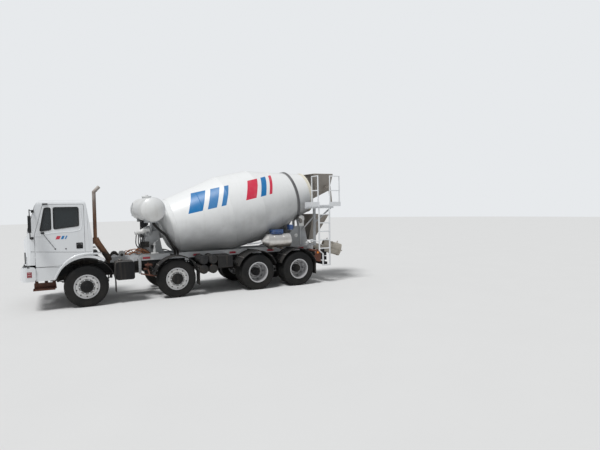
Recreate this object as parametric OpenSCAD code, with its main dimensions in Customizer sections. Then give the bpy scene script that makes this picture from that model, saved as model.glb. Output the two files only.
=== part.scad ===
// Concrete mixer truck, four axles, forward-control day cab.
// X runs from nose to tail, Y from the driver's side to the far side, Z up.
// The origin is under the middle of the truck, on the ground.
// Lengths are millimetres and angles are degrees.

/* [Axles and wheels] */
// Bumper face to first axle
front_overhang = 1430; // [1300:10:1600]
// First to second steered axle
steer_spacing = 2250; // [2100:10:2500]
// Second steered axle to first driven axle
mid_spacing = 2350; // [2300:10:2700]
// Between the two driven axles
bogie_spacing = 1350; // [1300:10:1450]
// Tyre outer diameter
tyre_od = 1040; // [1000:5:1060]
// Tyre section width
tyre_width = 275; // [250:5:290]
// Tyre casing thickness
tyre_wall = 22; // [16:1:30]
// Rim flange diameter
rim_od = 605; // [590:5:620]
// Rim barrel wall
rim_wall = 12; // [8:1:16]
// Wheel disc thickness
disc_wall = 14; // [10:1:18]
// Hub and brake drum radius inside the rim
hub_drum_r = 205; // [180:5:215]
// Hub cap radius
hub_cap_r = 118; // [100:2:130]
// Stub axle radius
stub_r = 34; // [28:1:40]
// Hand holes in each wheel disc
hand_holes = 10; // [6:1:12]
// Steered wheel centre from the middle of the truck
steer_track = 1030; // [1000:5:1060]
// Outer driven wheel centre from the middle of the truck
twin_track = 1100; // [1080:5:1110]
// Between the two tyres of a twin wheel
twin_gap = 325; // [310:5:340]
// King pin from the middle of the truck
kingpin_y = 850; // [820:5:870]
// King pin radius
kingpin_r = 26; // [20:1:30]

/* [Chassis] */
// Width across the outside of the rails
frame_width = 840; // [800:10:880]
// Top of the chassis rails
rail_top = 1000; // [980:5:1040]
// Rail web height
rail_height = 260; // [220:5:280]
// Rail flange width
rail_flange = 80; // [70:5:90]
// Rail steel thickness
rail_wall = 9; // [7:1:12]
// Mixer subframe height
subframe_height = 160; // [120:5:180]
// Subframe box width
subframe_width = 70; // [60:5:80]
// Bumper face to the front of the rails
rail_start = 230; // [200:10:300]
// Last axle to the end of the rails
rear_overhang = 960; // [900:10:1050]

/* [Cab] */
// Cab body width
cab_width = 2360; // [2300:10:2400]
// Roof height above ground
cab_roof = 2690; // [2650:5:2750]
// Wall and door thickness
cab_wall = 52; // [44:1:60]
// Window glass thickness
glass_wall = 8; // [6:1:10]
// Gap round each door
door_gap = 7; // [6:1:10]
// Top of the cab floor
cab_floor = 1400; // [1390:5:1440]
// How far each side leans in at the roof
side_lean = 60; // [30:5:90]
// Front wheel arch radius
arch_r = 735; // [720:5:760]
// Steering wheel rim radius
steering_wheel_r = 225; // [200:5:240]

/* [Drum] */
// Drum axis slope
drum_slope = 12.5; // [11:0.1:14]
// Height of the drum axis at the front flange
drum_axis_z = 1826; // [1800:2:1860]
// Second steered axle to the front flange, back positive
drum_from_axle2 = -257; // [-300:1:-200]
// Drum plate thickness
drum_wall = 12; // [8:1:16]
// Drum front edge radius
drum_front_r = 825; // [800:5:850]
// Drum largest radius
drum_max_r = 1143; // [1110:5:1160]
// Drum mouth radius
drum_mouth_r = 640; // [610:5:660]
// Roller track width
track_width = 84; // [70:2:100]
// Roller track radius
track_r = 826; // [815:1:850]
// Support roller radius
roller_r = 125; // [110:5:140]
// Angle of each roller from straight below
roller_angle = 35; // [30:1:40]

/* [Tanks and boxes] */
// Water tank radius
water_tank_r = 325; // [300:5:340]
// Water tank length over the shell
water_tank_length = 1960; // [1800:20:2100]
// Side tank radius
side_tank_r = 205; // [180:5:215]
// Side tank shell length
side_tank_length = 740; // [600:10:780]

/* [Chute and hoppers] */
// Main chute length past its hinge
chute_length = 900; // [850:10:950]
// Folding chute length
fold_length = 640; // [560:10:680]
// Chute trough radius
chute_r = 200; // [180:5:220]
// Chute plate thickness
chute_wall = 6; // [4:1:8]
// Chute slope at rest
chute_slope = 17; // [12:1:22]
// Chute turned to the driver's side at rest
chute_yaw = 20; // [0:1:30]
// Hopper plate thickness
hopper_wall = 8; // [6:1:12]

/* [Ladder and platform] */
// Ladder width over the rails
ladder_width = 380; // [340:10:420]
// Ladder tube radius
ladder_tube_r = 16; // [14:1:20]
// Platform deck height
deck_z = 2470; // [2440:10:2500]
// Handrail height above the deck
handrail_height = 910; // [850:10:1000]

/* [Hidden] */
$fn = 48;
running_gap = 0.1;
seat_gap = 0.3;
clear_gap = 6;
left = -1;
right = 1;
white = "white";
grey = "slategray";
black = "#222222";

// Axle places along the truck, from the first axle
axle_from_first = [0, steer_spacing, steer_spacing + mid_spacing,
    steer_spacing + mid_spacing + bogie_spacing];
chute_pivot_back = 240;
chute_pivot_s = axle_from_first[3] + rear_overhang + chute_pivot_back;
// Lugs at the end of the main chute, the rearmost thing on the truck at rest
chute_rim = 215;
lug_past = 30;
lug_rise = 24;
lug_out = 12;
lug_half = 7;
chute_end_s = chute_pivot_s + (chute_r + lug_out + lug_half) * sin(chute_yaw)
    + ((chute_length + lug_past) * cos(chute_slope) + (chute_rim + lug_rise) * sin(chute_slope))
    * cos(chute_yaw);
first_axle_x = -(chute_end_s - front_overhang) / 2;
function at(s) = first_axle_x + s;
axle_x = [for (s = axle_from_first) at(s)];
nose_x = at(-front_overhang);
axle_z = tyre_od / 2;
rail_y = frame_width / 2 - rail_flange / 2;
rail_bottom = rail_top - rail_height;
rail_front_x = nose_x + rail_start;
rail_back_x = axle_x[3] + rear_overhang;
subframe_top = rail_top + subframe_height;
subframe_front_x = axle_x[0] + 620;

// Plain shapes
module box_from(low, high) { translate(low) cube(high - low); }
module both_sides() { children(); mirror([0, 1, 0]) children(); }
module on_side(side) { if (side == left) children(); else mirror([0, 1, 0]) children(); }
module along_y(x, z, y0, y1, r) {
    translate([x, y0, z]) rotate([-90, 0, 0]) cylinder(r = r, h = y1 - y0);
}
module rod(a, b, r) {
    d = b - a;
    len = norm(d);
    translate(a) rotate([0, acos(d.z / len), atan2(d.y, d.x)]) cylinder(r = r, h = len);
}
// Each bend of a tube is a ball a little wider than the tube
bend_bulge = 0.6;
module tube_run(points, r) {
    for (i = [0 : len(points) - 2]) rod(points[i], points[i + 1], r);
    for (i = [1 : len(points) - 2]) translate(points[i]) sphere(r = r + bend_bulge);
}
module round_rect(size, r) {
    translate([r, 0]) square([size.x - 2 * r, size.y]);
    translate([0, r]) square([size.x, size.y - 2 * r]);
    for (x = [r, size.x - r], y = [r, size.y - r]) translate([x, y]) circle(r = r);
}
// Outline in X and Z, pushed out along Y
module side_plate(y0, y1) { translate([0, y1, 0]) rotate([90, 0, 0]) linear_extrude(y1 - y0) children(); }
// Outline in Y and Z, pushed out along X
module cross_plate(x0, x1) {
    translate([x0, 0, 0]) rotate([90, 0, 90]) linear_extrude(x1 - x0) children();
}
// Smooth hose: a curve through hand-placed points, swept as an eight-sided tube
function spline_at(p, i, t) = let (a = p[max(i - 1, 0)], b = p[i], c = p[i + 1],
    d = p[min(i + 2, len(p) - 1)])
    0.5 * (2 * b + (c - a) * t + (2 * a - 5 * b + 4 * c - d) * t * t
    + (3 * b - a - 3 * c + d) * t * t * t);
function spline(p, steps) = [for (i = [0 : len(p) - 2], k = [0 : steps - 1])
    spline_at(p, i, k / steps), p[len(p) - 1]];
module hose(points, r, sides = 8, steps = 5) {
    path = spline(points, steps);
    n = len(path);
    rings = [for (i = [0 : n - 1])
        let (dir = path[min(i + 1, n - 1)] - path[max(i - 1, 0)],
            t = dir / norm(dir),
            ref = abs(t.y) < 0.8 ? [0, 1, 0] : [1, 0, 0],
            u = cross(t, ref) / norm(cross(t, ref)),
            v = cross(t, u))
        [for (k = [0 : sides - 1])
            path[i] + r * (cos(k * 360 / sides) * u + sin(k * 360 / sides) * v)]];
    pts = [for (ring = rings) for (p = ring) p];
    faces = concat(
        [[for (k = [0 : sides - 1]) k]],
        [for (i = [0 : n - 2], k = [0 : sides - 1])
            let (a = i * sides + k, b = i * sides + (k + 1) % sides)
            [b, a, a + sides, b + sides]],
        [[for (k = [sides - 1 : -1 : 0]) (n - 1) * sides + k]]);
    polyhedron(pts, faces);
}

// Wheels. Each profile is [radius, distance out from the wheel's middle plane].
tyre_r = tyre_od / 2;
rim_r = rim_od / 2;
bead_r = rim_r - 16;
shoulder_r = 42;
module tyre_section() {
    side = tyre_width / 2;
    difference() {
        translate([bead_r, -side]) round_rect([tyre_r - bead_r, tyre_width], shoulder_r);
        translate([bead_r - shoulder_r, -side + tyre_wall])
            round_rect([tyre_r - bead_r + shoulder_r - 1.5 * tyre_wall, tyre_width - 2 * tyre_wall],
                shoulder_r);
    }
}
module tyre_solid() { rotate([90, 0, 0]) rotate_extrude($fn = 96) tyre_section(); }
rim_half = tyre_width / 2 - 18;
// Wheel profiles are [radius, distance outward]
module rim_profile() {
    inner = bead_r - rim_wall;
    flange_mid = tyre_width / 2 + 4;
    translate([inner - seat_gap, -rim_half]) square([rim_wall, 2 * rim_half]);
    for (side = [-1, 1]) {
        translate([inner, side * flange_mid - 6]) square([rim_r - inner, 12]);
        translate([inner - seat_gap, side < 0 ? -flange_mid : rim_half - 2])
            square([rim_wall, flange_mid + 2 - rim_half]);
    }
}
// The disc rises from the barrel to a flat hub face
disc_rise = 85;
module disc_profile(face) {
    outer = bead_r - rim_wall + 3;
    polygon([[outer, face - disc_rise], [outer, face - disc_rise + 1.5 * disc_wall],
        [hub_drum_r + 18, face], [hub_cap_r - 20, face],
        [hub_cap_r - 20, face - disc_wall], [hub_drum_r + 10, face - disc_wall]]);
}
// Hub, from its cap to the inner end of its brake drum, bored for the stub axle
cap_wall = 25;
module hub_profile(cap_out, face_out, drum_in) {
    difference() {
        union() {
            translate([0, face_out - 1]) square([hub_cap_r, cap_out - face_out + 1]);
            translate([0, -drum_in]) square([hub_drum_r, face_out + drum_in]);
        }
        translate([-1, -drum_in - 1])
            square([stub_r + running_gap + 1, cap_out - cap_wall + drum_in + 1]);
    }
}
steer_face = 132;
steer_cap = 46;
steer_drum_end = 75;
twin_cap = 120;
twin_drum_end = 205;
module steer_profile() {
    rim_profile();
    disc_profile(steer_face);
    hub_profile(steer_face + steer_cap, steer_face - 2, steer_drum_end);
}
module twin_profile() {
    translate([0, twin_gap / 2]) { rim_profile(); mirror([0, 1]) disc_profile(twin_gap / 2); }
    translate([0, -twin_gap / 2]) { rim_profile(); disc_profile(twin_gap / 2); }
    hub_profile(twin_cap, disc_wall - 2, twin_drum_end);
}
nut_ring_r = 165;
nut_count = 10;
module wheel_solid(nut_face) {
    difference() {
        rotate([90, 0, 0]) rotate_extrude($fn = 96) children();
        for (k = [0 : hand_holes - 1]) rotate([0, (k + 0.5) * 360 / hand_holes, 0])
            translate([0, 0, hub_drum_r + 42]) along_y(0, 0, -steer_face - 60, steer_face + 60, 24);
    }
    for (k = [0 : nut_count - 1]) rotate([0, k * 360 / nut_count, 0])
        translate([0, -nut_face + 2, nut_ring_r]) rotate([90, 0, 0]) cylinder(r = 16, h = 24, $fn = 6);
}
twin_mid_y = twin_track - twin_gap / 2;
module wheel(axle, side) {
    color("silver") on_side(side)
        if (axle < 2) translate([axle_x[axle], -steer_track, axle_z])
            wheel_solid(steer_face) steer_profile();
        else translate([axle_x[axle], -twin_mid_y, axle_z]) wheel_solid(disc_wall) twin_profile();
}
module tyre(axle, side) {
    color(black) on_side(side)
        if (axle < 2) translate([axle_x[axle], -steer_track, axle_z]) tyre_solid();
        else for (y = [-twin_track, -twin_track + twin_gap]) translate([axle_x[axle], y, axle_z])
            tyre_solid();
}

// Steered axles: a dropped I-beam with an eye at each end, and knuckles that fork round it
eye_r = 50;
eye_half = 55;
beam_drop = 120;
ear_wall = 30;
module knuckle(axle, side) {
    color(black) on_side(side) translate([axle_x[axle], -kingpin_y, axle_z]) {
        cylinder(r = kingpin_r, h = 2 * (eye_half + ear_wall), center = true);
        for (s = [-1, 1]) translate([0, 0, s * (eye_half + clear_gap + ear_wall / 2)]) {
            cylinder(r = eye_r + 4, h = ear_wall, center = true);
            translate([-eye_r, -eye_r - 38, -ear_wall / 2]) cube([2 * eye_r, eye_r + 38, ear_wall]);
        }
        translate([-eye_r, -eye_r - 38, -eye_half - clear_gap - 1])
            cube([2 * eye_r, 38 - clear_gap, 2 * (eye_half + clear_gap + 1)]);
        along_y(0, 0, -(steer_track - kingpin_y) - steer_face + 12, -eye_r - 37, stub_r);
        // Steering arm, back along the inside of the wheel
        rod([0, -eye_r - 20, -eye_half - 22], [190, -eye_r + 34, -eye_half - 22], 17);
        translate([190, -eye_r + 34, -eye_half - 22]) sphere(r = 26);
    }
}
module beam_outline(cut) {
    polygon([[kingpin_y - eye_r + 8, 42 - cut], [640, 30 - cut], [560, -beam_drop + 45 - cut],
        [-560, -beam_drop + 45 - cut], [-640, 30 - cut], [-kingpin_y + eye_r - 8, 42 - cut],
        [-kingpin_y + eye_r - 8, -42 + cut], [-680, -60 + cut], [-600, -beam_drop - 45 + cut],
        [600, -beam_drop - 45 + cut], [680, -60 + cut], [kingpin_y - eye_r + 8, -42 + cut]]);
}
module steer_axles() {
    flange_half = 48;
    web_half = 12;
    color(black) for (a = [0, 1]) translate([axle_x[a], 0, axle_z]) difference() {
        union() {
            cross_plate(-flange_half, flange_half) beam_outline(0);
            both_sides() translate([0, -kingpin_y, -eye_half]) cylinder(r = eye_r, h = 2 * eye_half);
        }
        cross_plate(web_half, flange_half + 1) intersection() {
            beam_outline(14);
            square([2 * (kingpin_y - 120), 400], center = true);
        }
        cross_plate(-flange_half - 1, -web_half) intersection() {
            beam_outline(14);
            square([2 * (kingpin_y - 120), 400], center = true);
        }
        both_sides() translate([0, -kingpin_y, -eye_half - 1])
            cylinder(r = kingpin_r + running_gap, h = 2 * eye_half + 2);
    }
}
spindle_end = twin_mid_y + 60;
axle_tube_r = 78;
diff_r = 225;
module drive_axles() {
    color(black) {
        for (a = [2, 3]) translate([axle_x[a], 0, axle_z]) {
            along_y(0, 0, -twin_mid_y + twin_drum_end + 12, twin_mid_y - twin_drum_end - 12, axle_tube_r);
            along_y(0, 0, -spindle_end, spindle_end, stub_r);
            sphere(r = diff_r);
            translate([-diff_r - 60, 0, 60]) rotate([0, 90, 0]) cylinder(r = 85, h = diff_r);
        }
        rod([axle_x[1] - 620, 0, prop_front_z], [axle_x[2] - diff_r - 50, 0, axle_z + 60], 55);
        rod([axle_x[2] + diff_r - 40, 0, axle_z + 40], [axle_x[3] - diff_r - 50, 0, axle_z + 60], 48);
    }
}

// Chassis: two channel rails, cross members and the brackets that carry the boxes
module channel_rail() {
    difference() {
        box_from([rail_front_x, -frame_width / 2, rail_bottom],
            [rail_back_x, -frame_width / 2 + rail_wall, rail_top]);
        for (b = rail_bolts) along_y(at(b[0]), b[1], -frame_width, 0, rail_bolt_r);
    }
    for (z = [rail_bottom, rail_top - rail_wall])
        box_from([rail_front_x, -frame_width / 2, z],
            [rail_back_x, -frame_width / 2 + rail_flange, z + rail_wall]);
}
side_box_y = 560;
air_tank_s = [3010, 3280];
// Cab tilt hinge, between the bumper and the cab's front edge
tilt_pivot = [at(-1325), 0, 1107];
tilt_pin_r = 12;
ear_half = 10;
// Bolt holes in each rail web, behind the last wheel: [from first axle, height]
rail_bolt_r = 7.5;
rail_bolts = [[6660, 840], [6740, 840], [6740, 900], [6660, 900]];
// Cross member places along the truck, from the first axle
cross_member_s = [-1150, 1500, 3300, 5275, 6850];
module chassis_frame() {
    color(black) {
        both_sides() channel_rail();
        for (s = cross_member_s) box_from([at(s) - 35, -frame_width / 2 + rail_wall - 1,
            rail_bottom + 60],
            [at(s) + 35, frame_width / 2 - rail_wall + 1, rail_top - 60]);
        // Brackets out to the tank and boxes on each side
        chute_bearing();
        both_sides() for (s = concat([820, 1020, 3700], air_tank_s))
            box_from([at(s) - 25, -side_box_y + seat_gap, rail_bottom + 90],
                [at(s) + 25, -frame_width / 2 + 1, rail_bottom + 150]);
        // Ears that carry the cab's tilt pins
        both_sides() difference() {
            side_plate(-rail_y - ear_half, -rail_y + ear_half) hull() {
                translate([tilt_pivot.x, tilt_pivot.z]) circle(r = 28);
                translate([rail_front_x + 5, rail_top - rail_wall]) square([90, rail_wall + 20]);
            }
            along_y(tilt_pivot.x, tilt_pivot.z, -frame_width, 0, tilt_pin_r + running_gap);
        }
    }
}
leaf_width = 76;
leaf_thick = 15;
leaf_count = 6;
leaf_bite = 0.2;
leaf_facets = 400;
leaf_arc_r = 2500;
bogie_arc_r = 6500;
// The lowest bogie leaf rests on both driven axle tubes
bogie_leaf_z = axle_z + (axle_tube_r + seat_gap) / cos(asin(bogie_spacing / 2 / bogie_arc_r))
    + leaf_count * leaf_thick + bogie_arc_r * (1 - cos(asin(bogie_spacing / 2 / bogie_arc_r)));
// Leaf packs: [middle from first axle, half length, middle height, arc up (1) or down (-1)]
leaf_table = [
    [0, 640, axle_z - beam_drop + 46 + seat_gap, 1],
    [steer_spacing, 640, axle_z - beam_drop + 46 + seat_gap, 1],
    [axle_from_first[2] + bogie_spacing / 2, bogie_spacing / 2 + 60, bogie_leaf_z, -1]];
trunnion_z = axle_z - 90;
trunnion_r = 45;
module leaf_pack(half, up) {
    arc_r = up > 0 ? leaf_arc_r : bogie_arc_r;
    for (i = [0 : leaf_count - 1]) {
        reach = half * (1 - 0.13 * i);
        intersection() {
            difference() {
                translate([0, up * (arc_r + leaf_count * leaf_thick)])
                    circle(r = arc_r + (i + 1) * leaf_thick, $fn = leaf_facets);
                translate([0, up * (arc_r + leaf_count * leaf_thick)])
                    circle(r = arc_r + i * leaf_thick - (i > 0 ? leaf_bite : 0), $fn = leaf_facets);
            }
            translate([-reach, -400]) square([2 * reach, 800]);
        }
    }
}
module leaf_springs() {
    color(black) both_sides() for (t = leaf_table) {
        mid_x = at(t[0]);
        half = t[1];
        rise = half * half / (2 * leaf_arc_r);
        y0 = -rail_y - leaf_width / 2;
        translate([mid_x, 0, t[2]]) side_plate(y0, y0 + leaf_width)
            leaf_pack(half, t[3]);
        if (t[3] > 0) {
            // Eyes, hangers to the rail and the clamp over the axle
            for (s = [-1, 1]) {
                ex = mid_x + s * half;
                ez = t[2] + rise + leaf_count * leaf_thick - 8;
                along_y(ex, ez, y0 - 6, y0 + leaf_width + 6, 26);
                box_from([ex - 30, y0 - 14, ez - 20], [ex + 30, y0 - 2, rail_bottom - seat_gap]);
                box_from([ex - 30, y0 + leaf_width + 2, ez - 20],
                    [ex + 30, y0 + leaf_width + 14, rail_bottom - seat_gap]);
            }
            box_from([mid_x - 60, y0 - 6, t[2]], [mid_x + 60, y0 + leaf_width + 6, t[2] + 110]);
        } else {
            box_from([mid_x - 90, y0 - 8, trunnion_z - trunnion_r - 10],
                [mid_x + 90, y0 + leaf_width + 8, rail_bottom - seat_gap]);
        }
    }
    color(black) along_y(at(leaf_table[2][0]), trunnion_z, -rail_y, rail_y, trunnion_r);
}
prop_front_z = rail_bottom - 20;
module engine_block() {
    color("dimgray") {
        box_from([at(-820), -290, 600], [at(330), 290, 1325]);
        box_from([at(329), -190, 640], [at(1450), 190, 1010]);
        box_from([at(-1010), -330, 660], [at(-819), 330, 1270]);
        box_from([at(-400), -345, 780], [at(-300), 345, 860]);
        rod([at(1449), 0, prop_front_z], [at(1600), 0, prop_front_z], 60);
    }
}
module subframe_rail() {
    box_from([subframe_front_x, -rail_y - subframe_width / 2, rail_top + seat_gap],
        [rail_back_x, -rail_y + subframe_width / 2, subframe_top]);
}
// Cross ties of the mixer subframe, from the first axle
subframe_tie_s = [660, 1400, 2150, 3100, 4200, 5100, 6400];
module mixer_subframe() {
    color(white) {
        both_sides() subframe_rail();
        for (s = subframe_tie_s) box_from([at(s) - 35, -rail_y, rail_top + 25],
            [at(s) + 35, rail_y, rail_top + 85]);
        // Bracket plates bolted down over the chassis rails
        both_sides() for (s = [1180, 2700, 3900])
            box_from([at(s) - 60, -frame_width / 2 - 12, rail_bottom + 120],
                [at(s) + 60, -frame_width / 2 - seat_gap, subframe_top - 20]);
    }
}

// Drum: its own frame has Z along the axis toward the mouth, X is down-slope side, Y across
drum_x = axle_x[1] + drum_from_axle2;
module drum_frame() {
    translate([drum_x, 0, drum_axis_z]) rotate([0, 90 - drum_slope, 0]) children();
}
// Drum stations along its axis from the front flange
front_edge_t = 383;
belly_start_t = 1979;
belly_end_t = 2962;
track_t = 4275;
mouth_t = 4898;
flange_r = 260;
dish_t = 60;
belly_end_r = drum_max_r - 10;
track_seat_r = track_r - 34;
// Outer outline: [radius, distance along the axis]
function drum_outline(inset) = [
    [0, dish_t + inset], [flange_r, dish_t + inset], [560 - inset, dish_t + 90 + inset],
    [745 - inset, dish_t + 210 + inset], [drum_front_r - inset, front_edge_t + inset / 2],
    [drum_max_r - inset, belly_start_t], [belly_end_r - inset, belly_end_t],
    [track_seat_r - inset, track_t], [drum_mouth_r - inset, mouth_t]];
module drum_shell() {
    color(white) drum_frame() difference() {
        rotate_extrude($fn = 96) {
            polygon(concat(drum_outline(0), [[0, mouth_t]]));
            translate([0, dish_t - 55]) square([flange_r, 57]);
            translate([track_r - 60, track_t - track_width / 2]) square([60, track_width]);
            translate([drum_mouth_r - 24, mouth_t - 46]) square([44, 46]);
        }
        rotate_extrude($fn = 96) polygon(concat(drum_outline(drum_wall), [[0, mouth_t]]));
        translate([0, 0, mouth_t - 60]) cylinder(r = drum_mouth_r - 24.5, h = 100, $fn = 96);
    }
}
// Two spiral blades wound round the inside of the rear cone
blade_start_t = 3150;
blade_depth = 190;
blade_thick = 10;
blade_turn = 340;
blade_steps = 30;
// Inner radius of the rear cone at a distance along the axis
function cone_r(t) = (t < track_t
    ? belly_end_r + (t - belly_end_t) * (track_seat_r - belly_end_r) / (track_t - belly_end_t)
    : track_seat_r + (t - track_t) * (drum_mouth_r - track_seat_r) / (mouth_t - track_t)) - drum_wall;
module spiral_blade(start) {
    n = blade_steps;
    rings = [for (i = [0 : n])
        let (t = blade_start_t + (mouth_t - 110 - blade_start_t) * i / n,
            a = start + blade_turn * i / n, r = cone_r(t + blade_thick) - seat_gap - 4)
        [for (c = [[r, 0], [r, blade_thick], [r - blade_depth, blade_thick], [r - blade_depth, 0]])
            [c.x * cos(a), c.x * sin(a), t + c.y]]];
    polyhedron([for (ring = rings) for (p = ring) p], concat([[0, 1, 2, 3]],
        [for (i = [0 : n - 1], k = [0 : 3]) let (a = i * 4 + k, b = i * 4 + (k + 1) % 4)
            [b, a, a + 4, b + 4]], [[for (k = [3 : -1 : 0]) n * 4 + k]]));
}
module drum_blades() { color("silver") drum_frame() for (start = [0, 180]) spiral_blade(start); }

roller_y = (track_r + roller_r + seat_gap) * sin(roller_angle);
roller_down = (track_r + roller_r + seat_gap) * cos(roller_angle);
roller_half = 48;
module roller(side) {
    color("silver") on_side(side) drum_frame() translate([roller_down, -roller_y, track_t]) difference() {
        cylinder(r = roller_r, h = 2 * roller_half, center = true);
        cylinder(r = stub_r + running_gap, h = 4 * roller_half, center = true);
    }
}
// World place of a point given in the drum's frame
function drum_to_truck(p) = [drum_x + p.x * sin(drum_slope) + p.z * cos(drum_slope), p.y,
    drum_axis_z - p.x * cos(drum_slope) + p.z * sin(drum_slope)];
roller_at = drum_to_truck([roller_down, -roller_y, track_t]);
pedestal_y = 560;
post_x = at(6780);
post_y = 760;
arm_z = 2430;
arm_back_x = at(7480);
hopper_pivot = [at(7440), 0, arm_z + 90];
pivot_pin_r = 20;
module rear_pedestal() {
    color(grey) {
        both_sides() {
            // Roller fork
            drum_frame() translate([roller_down, -roller_y, track_t]) {
                cylinder(r = stub_r, h = 2 * roller_half + 60, center = true);
                for (s = [-1, 1]) translate([0, 0, s * (roller_half + 18)])
                    cylinder(r = 62, h = 22, center = true);
                for (s = [-1, 1]) translate([0, -60, s * (roller_half + 18) - 11]) cube([230, 120, 22]);
                translate([160, -75, -roller_half - 30]) cube([70, 150, 2 * roller_half + 60]);
            }
            // Gusseted side plate down to the subframe
            side_plate(-pedestal_y - 12, -pedestal_y + 12) polygon([
                [roller_at.x - 150, roller_at.z - 190], [roller_at.x + 150, roller_at.z - 125],
                [at(6560), 1560], [at(6640), subframe_top + 10], [at(5790), subframe_top + 10],
                [at(5880), 1500]]);
            cross_plate(roller_at.x - 30, roller_at.x - 6) polygon([
                [-pedestal_y - 110, roller_at.z - 205], [-pedestal_y + 160, roller_at.z - 205],
                [-rail_y + 40, subframe_top + 10], [-pedestal_y - 110, subframe_top + 40]]);
            box_from([at(5790), -pedestal_y - 70, subframe_top + seat_gap],
                [at(6860), -rail_y + 60, subframe_top + 26]);
            // Post, arm and brace that carry the charging hopper
            box_from([post_x - 35, -post_y - 35, subframe_top + seat_gap],
                [post_x + 35, -post_y + 35, arm_z]);
            box_from([post_x - 35, -post_y - 35, arm_z - 70], [arm_back_x, -post_y + 35, arm_z]);
            rod([post_x, -post_y, 1900], [arm_back_x - 60, -post_y, arm_z - 50], 25);
            box_from([post_x - 35, -post_y - 35, subframe_top + seat_gap],
                [post_x + 35, -rail_y, subframe_top + 60]);
            difference() {
                box_from([hopper_pivot.x - 45, -post_y - 12, arm_z - 1],
                    [hopper_pivot.x + 45, -post_y + 12, hopper_pivot.z + 45]);
                along_y(hopper_pivot.x, hopper_pivot.z, -post_y - 20, -post_y + 20,
                    pivot_pin_r + running_gap);
            }
            // Stay from the pedestal to the discharge hopper
            rod([at(6400), -pedestal_y, 1640], [post_x + 10, -post_y + 10, 2120], 22);
        }
        box_from([roller_at.x - 60, -pedestal_y, 1560], [roller_at.x + 20, pedestal_y, 1640]);
    }
}

// Front pedestal with the drum's gearbox and motor
gearbox_r = 250;
module front_pedestal() {
    color(grey) {
        drum_frame() {
            translate([0, 0, -160]) cylinder(r = gearbox_r, h = 160 - seat_gap);
            translate([0, 0, -330]) cylinder(r = 180, h = 172);
            translate([0, 0, -560]) cylinder(r = 95, h = 232);
        }
        both_sides() {
            side_plate(-300, -276) difference() {
                polygon([[drum_x - 330, drum_axis_z - 60], [drum_x - 60, drum_axis_z + 10],
                    [drum_x + 60, subframe_top + 10], [drum_x - 620, subframe_top + 10]]);
                translate([drum_x - 250, subframe_top + 190]) circle(r = 70);
            }
            box_from([drum_x - 640, -rail_y - 60, subframe_top + seat_gap],
                [drum_x + 80, -276, subframe_top + 24]);
            // Struts up to the water tank saddles
            rod([drum_x - 280, -288, drum_axis_z - 120], [tank_x, -620, tank_z - water_tank_r - 22], 30);
        }
        drum_frame() translate([0, 0, -140]) intersection() {
            translate([0, -300, 0]) cube([420, 600, 24]);
            cylinder(r = 420, h = 60);
        }
        both_sides() difference() {
            box_from([tank_x - 190, -660, tank_z - water_tank_r - 40],
                [tank_x + 190, -580, tank_z - 150]);
            along_y(tank_x, tank_z, -700, -500, water_tank_r + seat_gap);
        }
        cross_plate(drum_x - 300, drum_x - 276)
            polygon([[-300, subframe_top + 10], [300, subframe_top + 10],
            [288, drum_axis_z - 120], [-288, drum_axis_z - 120]]);
    }
}
tank_x = at(1690);
tank_z = 2420;
module water_tank() {
    half = water_tank_length / 2;
    dish = 130;
    dish_r = (water_tank_r * water_tank_r + dish * dish) / (2 * dish);
    color(white) {
        along_y(tank_x, tank_z, -half, half, water_tank_r);
        both_sides() intersection() {
            translate([tank_x, -half - dish + dish_r, tank_z]) sphere(r = dish_r, $fn = 96);
            along_y(tank_x, tank_z, -half - dish - 10, -half + 1, water_tank_r);
        }
        translate([tank_x, 0, tank_z + water_tank_r - 20]) cylinder(r = 120, h = 60);
    }
}

// Boxes beside the rails
module fuel_tank() {
    color(black) side_plate(-1150, -side_box_y) translate([at(705), 610]) round_rect([450, 460], 55);
    color(black) box_from([at(800), -640, 1069], [at(860), -580, 1100]);
}
air_tank_r = 128;
module air_tanks() {
    color(black) both_sides() for (s = air_tank_s, z = [980, 712])
        along_y(at(s), z, -1120, -side_box_y, air_tank_r);
}
module battery_box() {
    color(black) both_sides() difference() {
        side_plate(-1140, -side_box_y) translate([at(3420), 730]) round_rect([430, 340], 26);
        for (k = [0 : 6]) box_from([at(3450) + k * 56, -1150, 760], [at(3470) + k * 56, -1132, 1040]);
    }
}

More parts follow.
